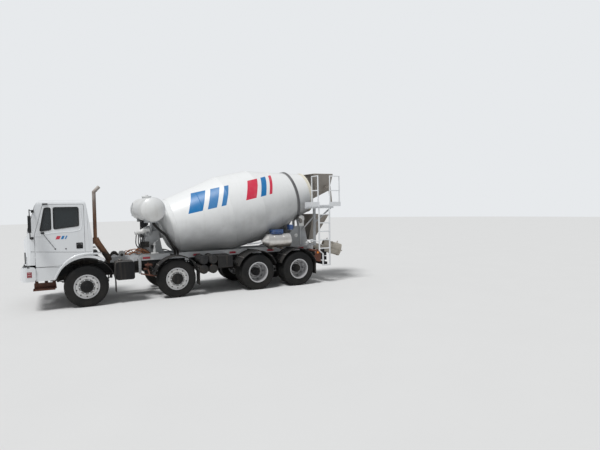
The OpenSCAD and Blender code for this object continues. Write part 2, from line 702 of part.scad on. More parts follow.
// Mudguards: [axle, from first angle, to last angle, inner radius, y outside, y inside, flap length]
guard_r = 625;
module arc_band(x, a0, a1, r, thick, y0, y1) {
    side_plate(y0, y1) translate([x, axle_z]) intersection() {
        difference() { circle(r = r + thick, $fn = 120); circle(r = r, $fn = 120); }
        polygon(concat([[0, 0]], [for (k = [0 : 8])
            let (a = a0 + (a1 - a0) * k / 8) 1.3 * r * [cos(a), sin(a)]]));
    }
}
module flap(x, z_top, z_low, y0, y1) { box_from([x, y0, z_low], [x + 12, y1, z_top]); }
front_guard_r = arch_r - 45;
module mudguards() {
    color(black) both_sides() {
        arc_band(axle_x[0], 2, 130, front_guard_r, 9, -1160, -880);
        flap(axle_x[0] + front_guard_r - 3, axle_z + 60, 300, -1160, -880);
        arc_band(axle_x[1], 14, 166, guard_r, 9, -1210, -860);
        flap(axle_x[1] + guard_r - 22, axle_z + 170, 300, -1210, -860);
        arc_band(axle_x[2], 20, 160, guard_r, 9, -1240, -650);
        arc_band(axle_x[3], 20, 160, guard_r, 9, -1240, -650);
        flap(axle_x[3] + guard_r - 35, axle_z + 230, 320, -1240, -650);
        // Tubes under the guards, out from the subframe or a post on the rail
        for (a = [1 : 3]) box_from([axle_x[a] - 22, -900, axle_z + guard_r - 44],
            [axle_x[a] + 22, -rail_y - subframe_width / 2 - seat_gap, axle_z + guard_r + 3]);
        box_from([axle_x[0] - 22, -900, axle_z + front_guard_r - 44],
            [axle_x[0] + 22, -rail_y + 22, axle_z + front_guard_r + 3]);
        box_from([axle_x[0] - 22, -rail_y - 22, rail_top + seat_gap],
            [axle_x[0] + 22, -rail_y + 22, axle_z + front_guard_r]);
    }
}
side_tank_x = at(5395);
side_tank_y = -930;
side_tank_z = 1405;
module side_tank() {
    half = side_tank_length / 2;
    color("silver") translate([side_tank_x, side_tank_y, side_tank_z]) rotate([0, 90, 0]) {
        cylinder(r = side_tank_r, h = 2 * half, center = true);
        translate([0, 0, half - 1]) cylinder(r1 = side_tank_r - 4, r2 = side_tank_r - 70, h = 50);
        translate([0, 0, -half - 140]) cylinder(r1 = 60, r2 = side_tank_r - 10, h = 141);
        translate([0, 0, -half - 170]) cylinder(r = 42, h = 40);
        for (z = [-190, 120]) translate([0, 0, z]) cylinder(r = side_tank_r + 6, h = 40);
    }
    color("silver") for (x = [-170, 140]) box_from([side_tank_x + x - 20, side_tank_y, subframe_top - 30],
        [side_tank_x + x + 20, -pedestal_y - 12, subframe_top + 30]);
}

// Ladder on the driver's side: rails, rungs and a narrower foot
ladder_x = at(6690);
ladder_y = -1225;
rung_pitch = 268;
ladder_foot_z = 560;
module ladder() {
    top = deck_z - 45;
    back_x = ladder_x + ladder_width;
    foot_x = ladder_x + 130;
    color(white) {
        tube_run([[ladder_x, ladder_y, top], [ladder_x, ladder_y, 1040], [foot_x, ladder_y, 930],
            [foot_x, ladder_y, ladder_foot_z], [back_x, ladder_y, ladder_foot_z],
                [back_x, ladder_y, top]],
            ladder_tube_r);
        for (k = [1 : 5]) rod([ladder_x, ladder_y, top - k * rung_pitch + 15],
            [back_x, ladder_y, top - k * rung_pitch + 15], ladder_tube_r - 3);
        // Stay back to the pedestal post
        rod([ladder_x, ladder_y, 1330], [ladder_x - 60, -post_y - 36, 1330], ladder_tube_r - 3);
        box_from([ladder_x - 100, -post_y - 47, 1290], [ladder_x + 20, -post_y - 35 - seat_gap, 1370]);
    }
}
platform_front_x = at(6420);
platform_back_x = at(7480);
platform_in_y = -post_y - 35 - seat_gap;
platform_out_y = -1255;
module handrail(points) { tube_run(points, ladder_tube_r); }
module platform() {
    top = deck_z + handrail_height;
    mid = deck_z + handrail_height / 2;
    hoop_x = ladder_x - 30;
    rail_x = ladder_x + ladder_width + 20;
    out_y = platform_out_y + 22;
    in_y = platform_in_y - 40;
    color(white) {
        difference() {
            box_from([platform_front_x, platform_out_y, deck_z - 22],
                [platform_back_x, platform_in_y, deck_z]);
            for (x = [platform_front_x + 70 : 60 : platform_back_x - 70],
                y = [platform_out_y + 70 : 60 : platform_in_y - 60])
                translate([x, y, deck_z - 30]) cylinder(r = 16, h = 40);
        }
        for (x = [[platform_front_x, ladder_x + 10], [ladder_x + ladder_width - 10, platform_back_x]])
            box_from([x[0], platform_out_y, deck_z - 45], [x[1], platform_out_y + 12, deck_z + 95]);
        box_from([platform_front_x, platform_out_y, deck_z - 45],
            [platform_front_x + 12, platform_in_y, deck_z + 95]);
        box_from([platform_back_x - 12, platform_out_y, deck_z - 45],
            [platform_back_x, platform_in_y, deck_z + 95]);
        box_from([platform_front_x, platform_in_y - 12, deck_z - 110],
            [platform_back_x, platform_in_y, deck_z - 2]);
        handrail([[hoop_x, out_y, deck_z - 10], [hoop_x, out_y, top], [hoop_x, in_y, top],
            [hoop_x, in_y, deck_z - 10]]);
        handrail([[rail_x, out_y, deck_z - 10], [rail_x, out_y, top], [platform_back_x - 40, out_y, top],
            [platform_back_x - 40, out_y, deck_z - 10]]);
        rod([rail_x, out_y, mid], [platform_back_x - 40, out_y, mid], ladder_tube_r - 3);
        rod([hoop_x, out_y, mid], [hoop_x, in_y, mid], ladder_tube_r - 3);
    }
}
module front_bumper() {
    high = 1095;
    low = 745;
    deep = 330;
    color(white) {
        difference() {
            intersection() {
                translate([nose_x, -1200, 0]) linear_extrude(2000) round_rect([700, 2400], 150);
                side_plate(-1210, 1210) translate([nose_x, low]) round_rect([deep, high - low], 70);
            }
            translate([nose_x + 60, -1140, 0]) linear_extrude(2000) round_rect([700, 2280], 100);
            for (y = [-1080 : 135 : 1000]) box_from([nose_x - 10, y, 1000], [nose_x + 100, y + 90, 1024]);
            for (y = [-1250, 1130]) for (x = [70, 150])
                box_from([nose_x + x, y, 1070], [nose_x + x + 55, y + 120, 1110]);
        }
        both_sides() box_from([nose_x + 55, -frame_width / 2 + 20, rail_bottom + 30],
            [rail_front_x - seat_gap, -frame_width / 2 + 90, rail_top - 60]);
    }
}
module rear_lamps() {
    bar_x = rail_back_x;
    color("darkred") {
        box_from([bar_x + seat_gap, -1180, 560], [bar_x + 90, 1180, 660]);
        both_sides() {
            box_from([bar_x + seat_gap, -frame_width / 2, 650],
                [bar_x + 12, -frame_width / 2 + rail_flange, rail_top - 20]);
            box_from([bar_x - 120, -1090, 720], [bar_x + 20, -1040, 1080]);
            box_from([bar_x + 19, -1160, 720], [bar_x + 75, -960, 830]);
            box_from([bar_x + 19, -1160, 860], [bar_x + 75, -960, 970]);
            box_from([bar_x + 19, -1090, 650], [bar_x + 40, -1040, 1080]);
        }
    }
}
stack_x = at(255);
stack_y = -760;
module exhaust_stack() {
    color("sienna") {
        tube_run([[stack_x, stack_y, 1640], [stack_x, stack_y, 2900], [stack_x + 130, stack_y, 3040]],
            45);
        rod([stack_x, stack_y, 1560], [stack_x, stack_y, 1720], 62);
        // Wide pipe down to the rail, with the foot that carries it
        tube_run([[stack_x + 5, stack_y, 1690], [stack_x + 65, stack_y, 1560],
            [stack_x + 300, -560, 1180], [stack_x + 330, -500, 1100]], 78);
        rod([stack_x + 60, stack_y + 60, 1690], [stack_x + 290, -500, 1190], 12);
        box_from([stack_x + 305, -530, rail_top + seat_gap], [stack_x + 355, -rail_y, 1100]);
    }
}
hose_r = 34;
thin_hose_r = 28;
// Height where a hose end of radius r, d behind the tank's middle, meets the tank
// Extra room over the square-cut hose ends
hose_drop = 1.6;
function under_tank(d, r) = tank_z - sqrt(pow(water_tank_r, 2) - pow(d - r, 2)) - seat_gap - hose_drop;
// Where the hoses come down beside the subframe
hose_side = rail_y + subframe_width / 2 + 6;
water_hose_route = [[90, -480, under_tank(90, hose_r)], [100, -485, 2000], [230, -540, 1850],
    [400, -600, 1680], [480, -600, 1540], [560, -590, 1400], [650, -520, 1240],
    [660, -hose_side - hose_r, 1100]];
thin_hose_route = [[120, -375, under_tank(120, thin_hose_r)], [130, -380, 2010], [245, -435, 1850],
    [410, -495, 1680], [485, -510, 1540], [580, -520, 1400], [730, -480, 1250],
    [750, -hose_side - thin_hose_r, 1100]];
module water_hoses() {
    color(black) {
        translate([tank_x, 0, 0]) hose(water_hose_route, hose_r);
        translate([tank_x, 0, 0]) hose(thin_hose_route, thin_hose_r);
        // Clips on the side of the subframe
        for (p = [water_hose_route[7], thin_hose_route[7]])
            box_from([tank_x + p.x - 15, p.y - 10, p.z + 5],
            [tank_x + p.x + 15, -rail_y - subframe_width / 2 - seat_gap, p.z + 35]);
    }
}

// Hoppers
module discharge_hopper() {
    bottom = 1300;
    top = 2150;
    color(grey) {
        difference() {
            hull() {
                box_from([at(6880), -170, bottom], [at(7080), 170, bottom + 40]);
                box_from([at(6830), -600, top - 10], [at(7420), 600, top]);
            }
            hull() {
                box_from([at(6880) + hopper_wall, -170 + hopper_wall, bottom - 1],
                    [at(7080) - hopper_wall, 170 - hopper_wall, bottom + 40]);
                box_from([at(6830) + hopper_wall, -600 + hopper_wall, top - 10],
                    [at(7420) - hopper_wall, 600 - hopper_wall, top + 1]);
            }
        }
        both_sides() box_from([post_x + 34, -post_y + 35 + seat_gap, top - 60],
            [at(6980), -590, top - 10]);
    }
}
module charging_hopper() {
    low_x = at(6690);
    color(grey) {
        difference() {
            hull() {
                box_from([at(6900), -560, 3480], [at(7620), 560, 3490]);
                box_from([at(7010), -420, 2960], [at(7560), 420, 2970]);
            }
            hull() {
                box_from([at(6900) + hopper_wall, -560 + hopper_wall, 3481],
                    [at(7620) - hopper_wall, 560 - hopper_wall, 3491]);
                box_from([at(7010) + hopper_wall, -420 + hopper_wall, 2959],
                    [at(7560) - hopper_wall, 420 - hopper_wall, 2970]);
            }
        }
        difference() {
            hull() {
                box_from([at(7010), -420, 2955], [at(7560), 420, 2962]);
                box_from([low_x, -240, 2560], [low_x + 60, 240, 2760]);
            }
            hull() {
                box_from([at(7010) + hopper_wall, -420 + hopper_wall, 2955],
                    [at(7560) - hopper_wall, 420 - hopper_wall, 2963]);
                box_from([low_x - 1, -240 + hopper_wall, 2560 + hopper_wall],
                    [low_x + 60, 240 - hopper_wall, 2760 - hopper_wall]);
            }
        }
        both_sides() {
            side_plate(-post_y + 12 + clear_gap, -post_y + 30 + clear_gap) hull() {
                translate([hopper_pivot.x, hopper_pivot.z]) circle(r = 42);
                translate([hopper_pivot.x - 60, 3060]) circle(r = 42);
            }
            along_y(hopper_pivot.x, hopper_pivot.z, -post_y - 24, -post_y + 30 + clear_gap, pivot_pin_r);
            box_from([hopper_pivot.x - 100, -post_y + 28 + clear_gap, 3030],
                [hopper_pivot.x - 20, -430, 3090]);
        }
    }
}

// Chute: its own frame has X along the chute from its hinge
chute_hinge = [at(chute_pivot_s), 0, 960];
chute_head = 100;
chute_pin_r = 18;
module chute_turned() { translate([chute_hinge.x, 0, 0]) rotate([0, 0, -chute_yaw]) children(); }
module chute_frame() {
    chute_turned() translate([0, 0, chute_hinge.z]) rotate([0, chute_slope, 0]) children();
}
module trough(x0, x1, up) {
    translate([x0, 0, chute_rim]) rotate([90, 0, 90]) linear_extrude(x1 - x0) mirror([0, up ? 1 : 0])
        difference() {
        circle(r = chute_r);
        circle(r = chute_r - chute_wall);
        translate([-2 * chute_r, 0]) square([4 * chute_r, 2 * chute_r]);
    }
}
yoke_half = 120;
swivel_post_r = 38;
swivel_plate_z = 880;
yoke_ear_r = 50;
prop_x = 350;
prop_r = 22;
prop_top = chute_hinge.z - (prop_x + prop_r) * tan(chute_slope)
    - (chute_r - chute_rim) / cos(chute_slope) - clear_gap;
module chute_swivel() {
    color(grey) chute_turned() {
        translate([0, 0, 635]) cylinder(r = swivel_post_r, h = swivel_plate_z - 635 + 5);
        translate([-90, -yoke_half - 26, swivel_plate_z]) cube([180, 2 * yoke_half + 52, 18]);
        for (s = [-1, 1]) difference() {
            translate([0, s * (yoke_half + 14), 0]) side_plate(-12, 12) union() {
                translate([-yoke_ear_r, swivel_plate_z + 1])
                    square([2 * yoke_ear_r, chute_hinge.z - swivel_plate_z - 1]);
                translate([0, chute_hinge.z]) circle(r = yoke_ear_r);
            }
            along_y(0, chute_hinge.z, -300, 300, chute_pin_r + running_gap);
        }
        // Prop under the chute, from the foot of the post
        rod([0, 0, 660], [prop_x, 0, 690], 20);
        rod([prop_x, 0, 680], [prop_x, 0, prop_top], prop_r);
        translate([prop_x, 0, 690]) sphere(r = prop_r);
    }
}
module chute_bearing() {
    difference() {
        union() {
            translate([chute_hinge.x, 0, 710]) cylinder(r = 62, h = swivel_plate_z - clear_gap - 710);
            box_from([rail_back_x - 10, -60, 730], [chute_hinge.x, 60, 850]);
            box_from([rail_back_x - 70, -rail_y - 20, 760], [rail_back_x - 9, rail_y + 20, 860]);
        }
        translate([chute_hinge.x, 0, 600]) cylinder(r = swivel_post_r + running_gap, h = 400);
    }
}
module main_chute() {
    color("ivory") chute_frame() {
        trough(-chute_head, chute_length, false);
        for (s = [-1, 1]) box_from([-chute_head, s * chute_r - (s > 0 ? chute_wall : 22), chute_rim - 14],
            [chute_length, s * chute_r + (s > 0 ? 22 : chute_wall), chute_rim]);
        difference() {
            for (s = [-1, 1]) side_plate(s * (yoke_half - 14) - 8, s * (yoke_half - 14) + 8) union() {
                circle(r = 40);
                translate([-40, 0]) square([80, chute_rim - chute_r + 65]);
            }
            along_y(0, 0, -300, 300, chute_pin_r - 1);
        }
        along_y(0, 0, -yoke_half - 40, yoke_half + 40, chute_pin_r);
        for (s = [-1, 1]) difference() {
            box_from([chute_length - 60, s * (chute_r + lug_out) - lug_half, chute_rim - 16],
                [chute_length + lug_past, s * (chute_r + lug_out) + lug_half, chute_rim + lug_rise]);
            along_y(chute_length + 12, chute_rim + 5, -400, 400, 8 + running_gap);
        }
    }
}
fold_axis = [chute_length + 12, 0, chute_rim + 5];
fold_gap = 10;
fold_ear_r = 11;
module fold_chute() {
    color("ivory") chute_frame() {
        translate([0, 0, fold_gap]) trough(chute_length - fold_length, chute_length - 4, true);
        for (s = [-1, 1]) {
            box_from([chute_length - fold_length, s * chute_r - (s > 0 ? chute_wall : 16),
                chute_rim + fold_gap],
                [chute_length - 70, s * chute_r + (s > 0 ? 16 : chute_wall), chute_rim + fold_gap + 12]);
            box_from([chute_length - 72, s * (chute_r - 6) - 5, chute_rim + fold_gap],
                [chute_length + 24, s * (chute_r - 6) + 5, chute_rim + fold_gap + 14]);
            along_y(fold_axis.x, fold_axis.z, s * (chute_r + 5) - 18, s * (chute_r + 5) + 18, 8);
            along_y(fold_axis.x, fold_axis.z, s * (chute_r - 6) - 5, s * (chute_r - 6) + 5, fold_ear_r);
        }
    }
}

// Rounded outline from a table of [x, y, corner radius]
function corner_arc(a, b, c, r, n) = let (
    u = (a - b) / norm(a - b), v = (c - b) / norm(c - b), half = acos(u * v) / 2,
    centre = b + (u + v) / norm(u + v) * r / sin(half),
    p0 = b + u * r / tan(half) - centre, p1 = b + v * r / tan(half) - centre,
    a0 = atan2(p0.y, p0.x), turn = (atan2(p1.y, p1.x) - a0 + 540) % 360 - 180)
    [for (i = [0 : n]) centre + r * [cos(a0 + turn * i / n), sin(a0 + turn * i / n)]];
function flat(p) = [p[0], p[1]];
function soft(t, n = 5) = let (m = len(t)) [for (i = [0 : m - 1]) each (t[i][2] == 0 ? [flat(t[i])]
    : corner_arc(flat(t[(i + m - 1) % m]), flat(t[i]), flat(t[(i + 1) % m]), t[i][2], n))];

// Cab. Each outline takes an inset, so that walls, glass and hollows follow the same skin.
cab_x = at(0);
cab_half = cab_width / 2;
belt_z = 1870;
front_low_z = 1140;
skirt_low_z = 750;
floor_wall = 50;
// Seen from the side: [from first axle, height, corner radius]
function cab_side(i, low) = soft([
    [-1318 + i, low, 0], [-1338 + i, 1260, 60], [-1338 + i, 1740, 60], [-1262 + i, 1850, 60],
    [-1040 + i, cab_roof - i, 130], [25 - i, cab_roof - i, 90], [168 - i, 1690, 60], [168 - i, low, 0]]);
// Seen from the front: [across, height, corner radius]
function cab_front(i) = soft([
    [-cab_half + i, 600, 0], [-cab_half + i, belt_z, 500], [-cab_half + side_lean + i, cab_roof - i, 110],
    [cab_half - side_lean - i, cab_roof - i, 110], [cab_half - i, belt_z, 500], [cab_half - i, 600, 0]]);
module cab_form(i, low) {
    nose = cab_x - 1338 + i;
    intersection() {
        side_plate(-cab_half, cab_half) translate([cab_x, 0]) polygon(cab_side(i, low));
        cross_plate(cab_x - 1400, cab_x + 300) polygon(cab_front(i));
        translate([0, 0, 500]) linear_extrude(2500) polygon(soft([
            [nose, -cab_half + i, 190 - i / 2], [nose, cab_half - i, 190 - i / 2],
            [cab_x + 300, cab_half - i, 0], [cab_x + 300, -cab_half + i, 0]]));
    }
}
// Openings: [from first axle, height, corner radius], grown outward by g
function door_edge(g) = soft([
    [-1098 - g, 1090 - g, 30 + g], [-1098 - g, 1860, 60], [-908 - g, 2585 + g, 60 + g],
    [-18 + g, 2585 + g, 40 + g], [-18 + g, 1100, 0], [-400, 1090 - g, 0]]);
function quarter_light(g) = soft([
    [-990 - g, 1945 - g, 25], [-880 - g, 2510 + g, 25], [-745 + g, 2510 + g, 25],
        [-745 + g, 1975 - g, 25]]);
function door_light(g) = soft([
    [-690 - g, 1985 - g, 35], [-690 - g, 2515 + g, 35], [-135 + g, 2515 + g, 35],
        [-135 + g, 2050 - g, 60]]);
function screen_edge(g) = soft([
    [-1010 - g, 1935 - g, 70], [-990 - g, 2560 + g, 80], [990 + g, 2560 + g, 80],
        [1010 + g, 1935 - g, 70]]);
function rear_light(g) = soft([
    [-560 - g, 1950 - g, 60], [-560 - g, 2400 + g, 60], [560 + g, 2400 + g, 60],
        [560 + g, 1950 - g, 60]]);
module side_cut(points, y0 = -cab_half - 20, y1 = -cab_half + 260) {
    side_plate(y0, y1) translate([cab_x, 0]) polygon(points);
}
module arch_cut(r) { along_y(cab_x, axle_z, -cab_half - 40, cab_half + 40, r); }
arch_lip = 62;
lip_bite = 4;
module cab_shell() {
    side_y = -cab_half + cab_wall;
    color(white) {
        difference() {
            union() {
                difference() {
                    cab_form(0, front_low_z);
                    intersection() {
                        cab_form(cab_wall, front_low_z);
                        box_from([cab_x - 1400, -cab_half, cab_floor], [cab_x + 300, cab_half, 3000]);
                    }
                    box_from([cab_x - 1400 + 62 + cab_wall, side_y, 500],
                        [cab_x + 300, -side_y, cab_floor - floor_wall]);
                    both_sides() box_from([cab_x - 1098, -cab_half - 10, 500],
                        [cab_x + 300, side_y + 1, cab_floor - floor_wall - 60]);
                }
                // Entry step below each door
                both_sides() difference() {
                    box_from([cab_x - 1096, -cab_half, skirt_low_z],
                        [cab_x - 560, -cab_half + cab_wall, cab_floor]);
                    side_cut(door_edge(door_gap));
                    box_from([cab_x - 1096, -cab_half - 5, 1090 - door_gap],
                        [cab_x - 18, -cab_half + cab_wall + 5, cab_floor - floor_wall - 100]);
                }
                both_sides() {
                    for (z = [skirt_low_z, 1060])
                        box_from([cab_x - 1094, -cab_half + 20, z],
                            [cab_x - 755, -cab_half + 260, z + 22]);
                    box_from([cab_x - 1096, -cab_half + 20, skirt_low_z],
                        [cab_x - 1070, -cab_half + 260, cab_floor - 20]);
                    box_from([cab_x - 1094, -cab_half + 240, skirt_low_z],
                        [cab_x - 755, -cab_half + 260, cab_floor - 20]);
                }
            }
            both_sides() side_cut(door_edge(door_gap), -cab_half - 20, -cab_half + 150);
            cross_plate(cab_x - 1400, cab_x - 960) polygon(screen_edge(0));
            cross_plate(cab_x - 100, cab_x + 300) polygon(rear_light(0));
            arch_cut(arch_r);
            // Seat for the grille panel
            box_from([cab_x - 1400, -cab_half - 10, 1175], [cab_x - 1298, cab_half + 10, 1450]);
        }
        // Flared lip round the wheel arch
        both_sides() arc_band(cab_x, 56, 157, arch_r - lip_bite, arch_lip, -cab_half - 22,
            -cab_half + 100);
        both_sides() box_from([cab_x - 30, side_y + 10, axle_z + arch_r + 20],
            [cab_x + 30, side_y + 45, cab_floor - 20]);
        // Brackets and pins of the tilt hinge
        both_sides() {
            for (s = [-1, 1]) side_plate(-rail_y + s * (ear_half + clear_gap + 7) - 7,
                -rail_y + s * (ear_half + clear_gap + 7) + 7) hull() {
                translate([tilt_pivot.x, tilt_pivot.z]) circle(r = 24);
                translate([cab_x - 1310, front_low_z + 5]) square([40, 20]);
            }
            along_y(tilt_pivot.x, tilt_pivot.z, -rail_y - ear_half - 15, -rail_y + ear_half + 15,
                tilt_pin_r);
        }
    }
}
module glass_skin() {
    difference() {
        cab_form(18, 900);
        cab_form(18 + glass_wall, 890);
    }
}
module cab_glass() {
    color("lightblue", 0.5) intersection() {
        glass_skin();
        union() {
            cross_plate(cab_x - 1400, cab_x - 960) polygon(screen_edge(-seat_gap));
            cross_plate(cab_x - 100, cab_x + 300) polygon(rear_light(-seat_gap));
        }
    }
}
module door(side) {
    color(white) on_side(side) {
        difference() {
            intersection() {
                difference() { cab_form(0, 900); cab_form(cab_wall, 800); }
                side_cut(door_edge(0));
            }
            side_cut(quarter_light(0));
            side_cut(door_light(0));
            arch_cut(arch_r + arch_lip + door_gap);
            box_from([cab_x - 205, -cab_half - 5, 1490], [cab_x - 60, -cab_half + 26, 1635]);
        }
        box_from([cab_x - 190, -cab_half + 4, 1585], [cab_x - 75, -cab_half + 30, 1608]);
    }
}
module door_glass(side) {
    color("lightblue", 0.5) on_side(side) intersection() {
        glass_skin();
        union() { side_cut(quarter_light(-seat_gap)); side_cut(door_light(-seat_gap)); }
    }
}
module front_grille() {
    color(black) {
        difference() {
            intersection() {
                cab_form(4, 900);
                box_from([cab_x - 1400, -cab_half, 1175 + seat_gap],
                    [cab_x - 1298 - seat_gap, cab_half, 1450 - seat_gap]);
            }
            for (z = [1200 : 44 : 1400]) box_from([cab_x - 1400, -560, z], [cab_x - 1312, 560, z + 24]);
            both_sides() box_from([cab_x - 1400, -930, 1210], [cab_x - 1312, -620, 1415]);
        }
    }
}
module head_lamps() {
    color("white") both_sides() {
        box_from([cab_x - 1312 + seat_gap - 19, -930 + 3, 1213], [cab_x - 1312 - seat_gap, -750, 1412]);
        box_from([cab_x - 1312 + seat_gap - 19, -740, 1213], [cab_x - 1312 - seat_gap, -620 - 3, 1412]);
    }
}
seat_y = 640;
module cab_interior() {
    floor_z = cab_floor + seat_gap;
    color("dimgray") {
        // Dashboard with a binnacle, column and wheel
        side_plate(-cab_half + cab_wall + 30, cab_half - cab_wall - 30) translate([cab_x, 0])
            polygon(soft([
            [-1180, 1500, 0], [-1185, 1830, 30], [-960, 1860, 60], [-900, 1700, 50], [-1010, 1500, 0]]));
        rod([cab_x - 1060, -seat_y, 1420], [cab_x - 840, -seat_y, 1875], 34);
        translate([cab_x - 835, -seat_y, 1885]) rotate([0, -30, 0]) {
            rotate_extrude($fn = 64) translate([steering_wheel_r, 0]) circle(r = 15, $fn = 24);
            for (a = [30, 150, 270]) rotate([0, 0, a]) rod([0, 0, -8], [steering_wheel_r, 0, 0], 11);
            translate([0, 0, -30]) cylinder(r = 62, h = 40);
        }
        box_from([cab_x - 1120, -cab_half + 120, floor_z], [cab_x - 1040, cab_half - 120, 1505]);
        for (y = [-seat_y, seat_y]) translate([0, y, 0]) {
            box_from([cab_x - 640, -170, floor_z], [cab_x - 220, 170, floor_z + 210]);
            side_plate(-245, 245) translate([cab_x, 0]) polygon(soft([
                [-700, floor_z + 209, 20], [-720, floor_z + 340, 50], [-330, floor_z + 320, 60],
                [-230, 2250, 60], [-100, 2260, 50], [-190, floor_z + 209, 20]]));
            side_plate(-120, 120) translate([cab_x, 0]) polygon(soft([
                [-215, 2240, 0], [-205, 2440, 35], [-115, 2440, 35], [-125, 2240, 0]]));
        }
        // Engine tunnel cover between the seats
        side_plate(-280, 280) translate([cab_x, 0]) polygon(soft([
            [-1000, floor_z, 0], [-960, 1640, 80], [60, 1600, 60], [90, floor_z, 0]]));
    }
}
// How far the mirrors stand out from the cab wall
mirror_reach = 295;
mirror_out = cab_half + mirror_reach;
module mirrors() {
    color(black) both_sides() {
        // Twin arms from the pillar and the mirror head
        tube_run([[cab_x - 1130, -cab_half + 45, 2430], [cab_x - 1180, -mirror_out + 90, 2470],
            [cab_x - 1180, -mirror_out + 90, 1790], [cab_x - 1150, -cab_half - 8, 1790]], 11, $fn = 16);
        difference() {
            side_box_mirror(0);
            side_box_mirror(12);
        }
    }
}
module side_box_mirror(i) {
    translate([cab_x - 1215 + 3 * i, 0, 0]) rotate([90, 0, 90]) linear_extrude(60)
        translate([-mirror_out + i, 1930 + i]) round_rect([190 - 2 * i, 400 - 2 * i], 40 - i);
}

chassis_frame();
leaf_springs();
steer_axles();
drive_axles();
engine_block();
mixer_subframe();
front_pedestal();
water_tank();
rear_pedestal();
discharge_hopper();
front_bumper();
fuel_tank();
air_tanks();
battery_box();
mudguards();
side_tank();
ladder();
platform();
rear_lamps();
exhaust_stack();
water_hoses();
cab_shell();
cab_glass();
front_grille();
head_lamps();
cab_interior();
mirrors();
door(left);  // door_left
door(right);  // door_right
door_glass(left);  // door_glass_left
door_glass(right);  // door_glass_right
drum_shell();
drum_blades();
roller(left);  // roller_left
roller(right);  // roller_right
charging_hopper();
chute_swivel();
main_chute();
fold_chute();
knuckle(0, left);  // knuckle_1_left
knuckle(0, right);  // knuckle_1_right
knuckle(1, left);  // knuckle_2_left
knuckle(1, right);  // knuckle_2_right
wheel(0, left);  // wheel_1_left
wheel(0, right);  // wheel_1_right
wheel(1, left);  // wheel_2_left
wheel(1, right);  // wheel_2_right
wheel(2, left);  // wheel_3_left
wheel(2, right);  // wheel_3_right
wheel(3, left);  // wheel_4_left
wheel(3, right);  // wheel_4_right
tyre(0, left);  // tyre_1_left
tyre(0, right);  // tyre_1_right
tyre(1, left);  // tyre_2_left
tyre(1, right);  // tyre_2_right
tyre(2, left);  // tyre_3_left
tyre(2, right);  // tyre_3_right
tyre(3, left);  // tyre_4_left
tyre(3, right);  // tyre_4_right
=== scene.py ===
"""Looks of a four-axle concrete mixer truck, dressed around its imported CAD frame.

Lengths are metres in the frame of the model: X toward the tail, -Y is the driver's
side, Z up from the ground. Places along the truck are given as the distance behind
the first axle, and Layout.at turns them into X.
"""

import logging
import math
from dataclasses import dataclass
from enum import Enum
from typing import Callable, Iterable, Sequence

import bpy
from mathutils import Matrix, Vector


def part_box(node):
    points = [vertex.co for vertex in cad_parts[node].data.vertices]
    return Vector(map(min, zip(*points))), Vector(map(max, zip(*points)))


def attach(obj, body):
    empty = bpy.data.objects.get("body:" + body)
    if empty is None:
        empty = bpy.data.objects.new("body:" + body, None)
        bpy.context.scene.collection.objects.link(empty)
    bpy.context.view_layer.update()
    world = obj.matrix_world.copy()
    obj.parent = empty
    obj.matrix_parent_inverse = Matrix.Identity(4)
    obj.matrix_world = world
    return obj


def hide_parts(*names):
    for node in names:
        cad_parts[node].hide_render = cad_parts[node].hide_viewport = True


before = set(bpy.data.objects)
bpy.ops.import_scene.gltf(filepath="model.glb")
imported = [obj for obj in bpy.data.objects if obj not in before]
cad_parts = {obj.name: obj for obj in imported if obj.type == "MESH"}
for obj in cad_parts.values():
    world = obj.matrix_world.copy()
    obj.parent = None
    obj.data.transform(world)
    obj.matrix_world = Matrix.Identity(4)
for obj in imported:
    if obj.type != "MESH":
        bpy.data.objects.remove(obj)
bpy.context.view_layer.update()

log = logging.getLogger("mixer_truck")
Point = tuple[float, float, float]
Colour = tuple[float, float, float]
Profile = Sequence[tuple[float, float]]
Piece = bpy.types.Object
Node = bpy.types.Node
Tree = bpy.types.NodeTree
Socket = bpy.types.NodeSocket
Material = bpy.types.Material


class Side(Enum):
    """The two sides of the truck, valued as the sign of Y."""

    DRIVER = -1
    FAR = 1


class Body(Enum):
    """Moving groups of the model that pieces ride on."""

    CHASSIS = "chassis"
    CAB = "cab"
    DOOR_LEFT = "door_left"
    DOOR_RIGHT = "door_right"
    DRUM = "drum"
    HOPPER = "charging_hopper"
    CHUTE = "main_chute"
    FOLD = "fold_chute"


@dataclass(frozen=True)
class Layout:
    """Main places of the truck, all measured from its first axle."""

    axle_x: float = round(sum(c.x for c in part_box("wheel_1_left")) / 2, 5)
    axle_z: float = 0.52
    drum_from: float = 1.993
    drum_z: float = 1.826
    drum_slope: float = math.radians(12.5)
    twin_half: float = 0.1625

    def at(self, s: float) -> float:
        """Returns the X of a place s metres behind the first axle."""
        return self.axle_x + s

    def on_drum(self, along: float, radius: float, turn: float) -> Point:
        """Gives a point on the drum.

        Args:
            along: distance along the drum's axis from its front flange.
            radius: distance from the axis.
            turn: angle in degrees, 0 on top and 90 toward the driver's side.

        Returns:
            The point in the frame of the model.
        """
        up = radius * math.cos(math.radians(turn))
        cos, sin = math.cos(self.drum_slope), math.sin(self.drum_slope)
        return (
            self.at(self.drum_from) + along * cos - up * sin,
            -radius * math.sin(math.radians(turn)),
            self.drum_z + along * sin + up * cos,
        )


PLAN = Layout()


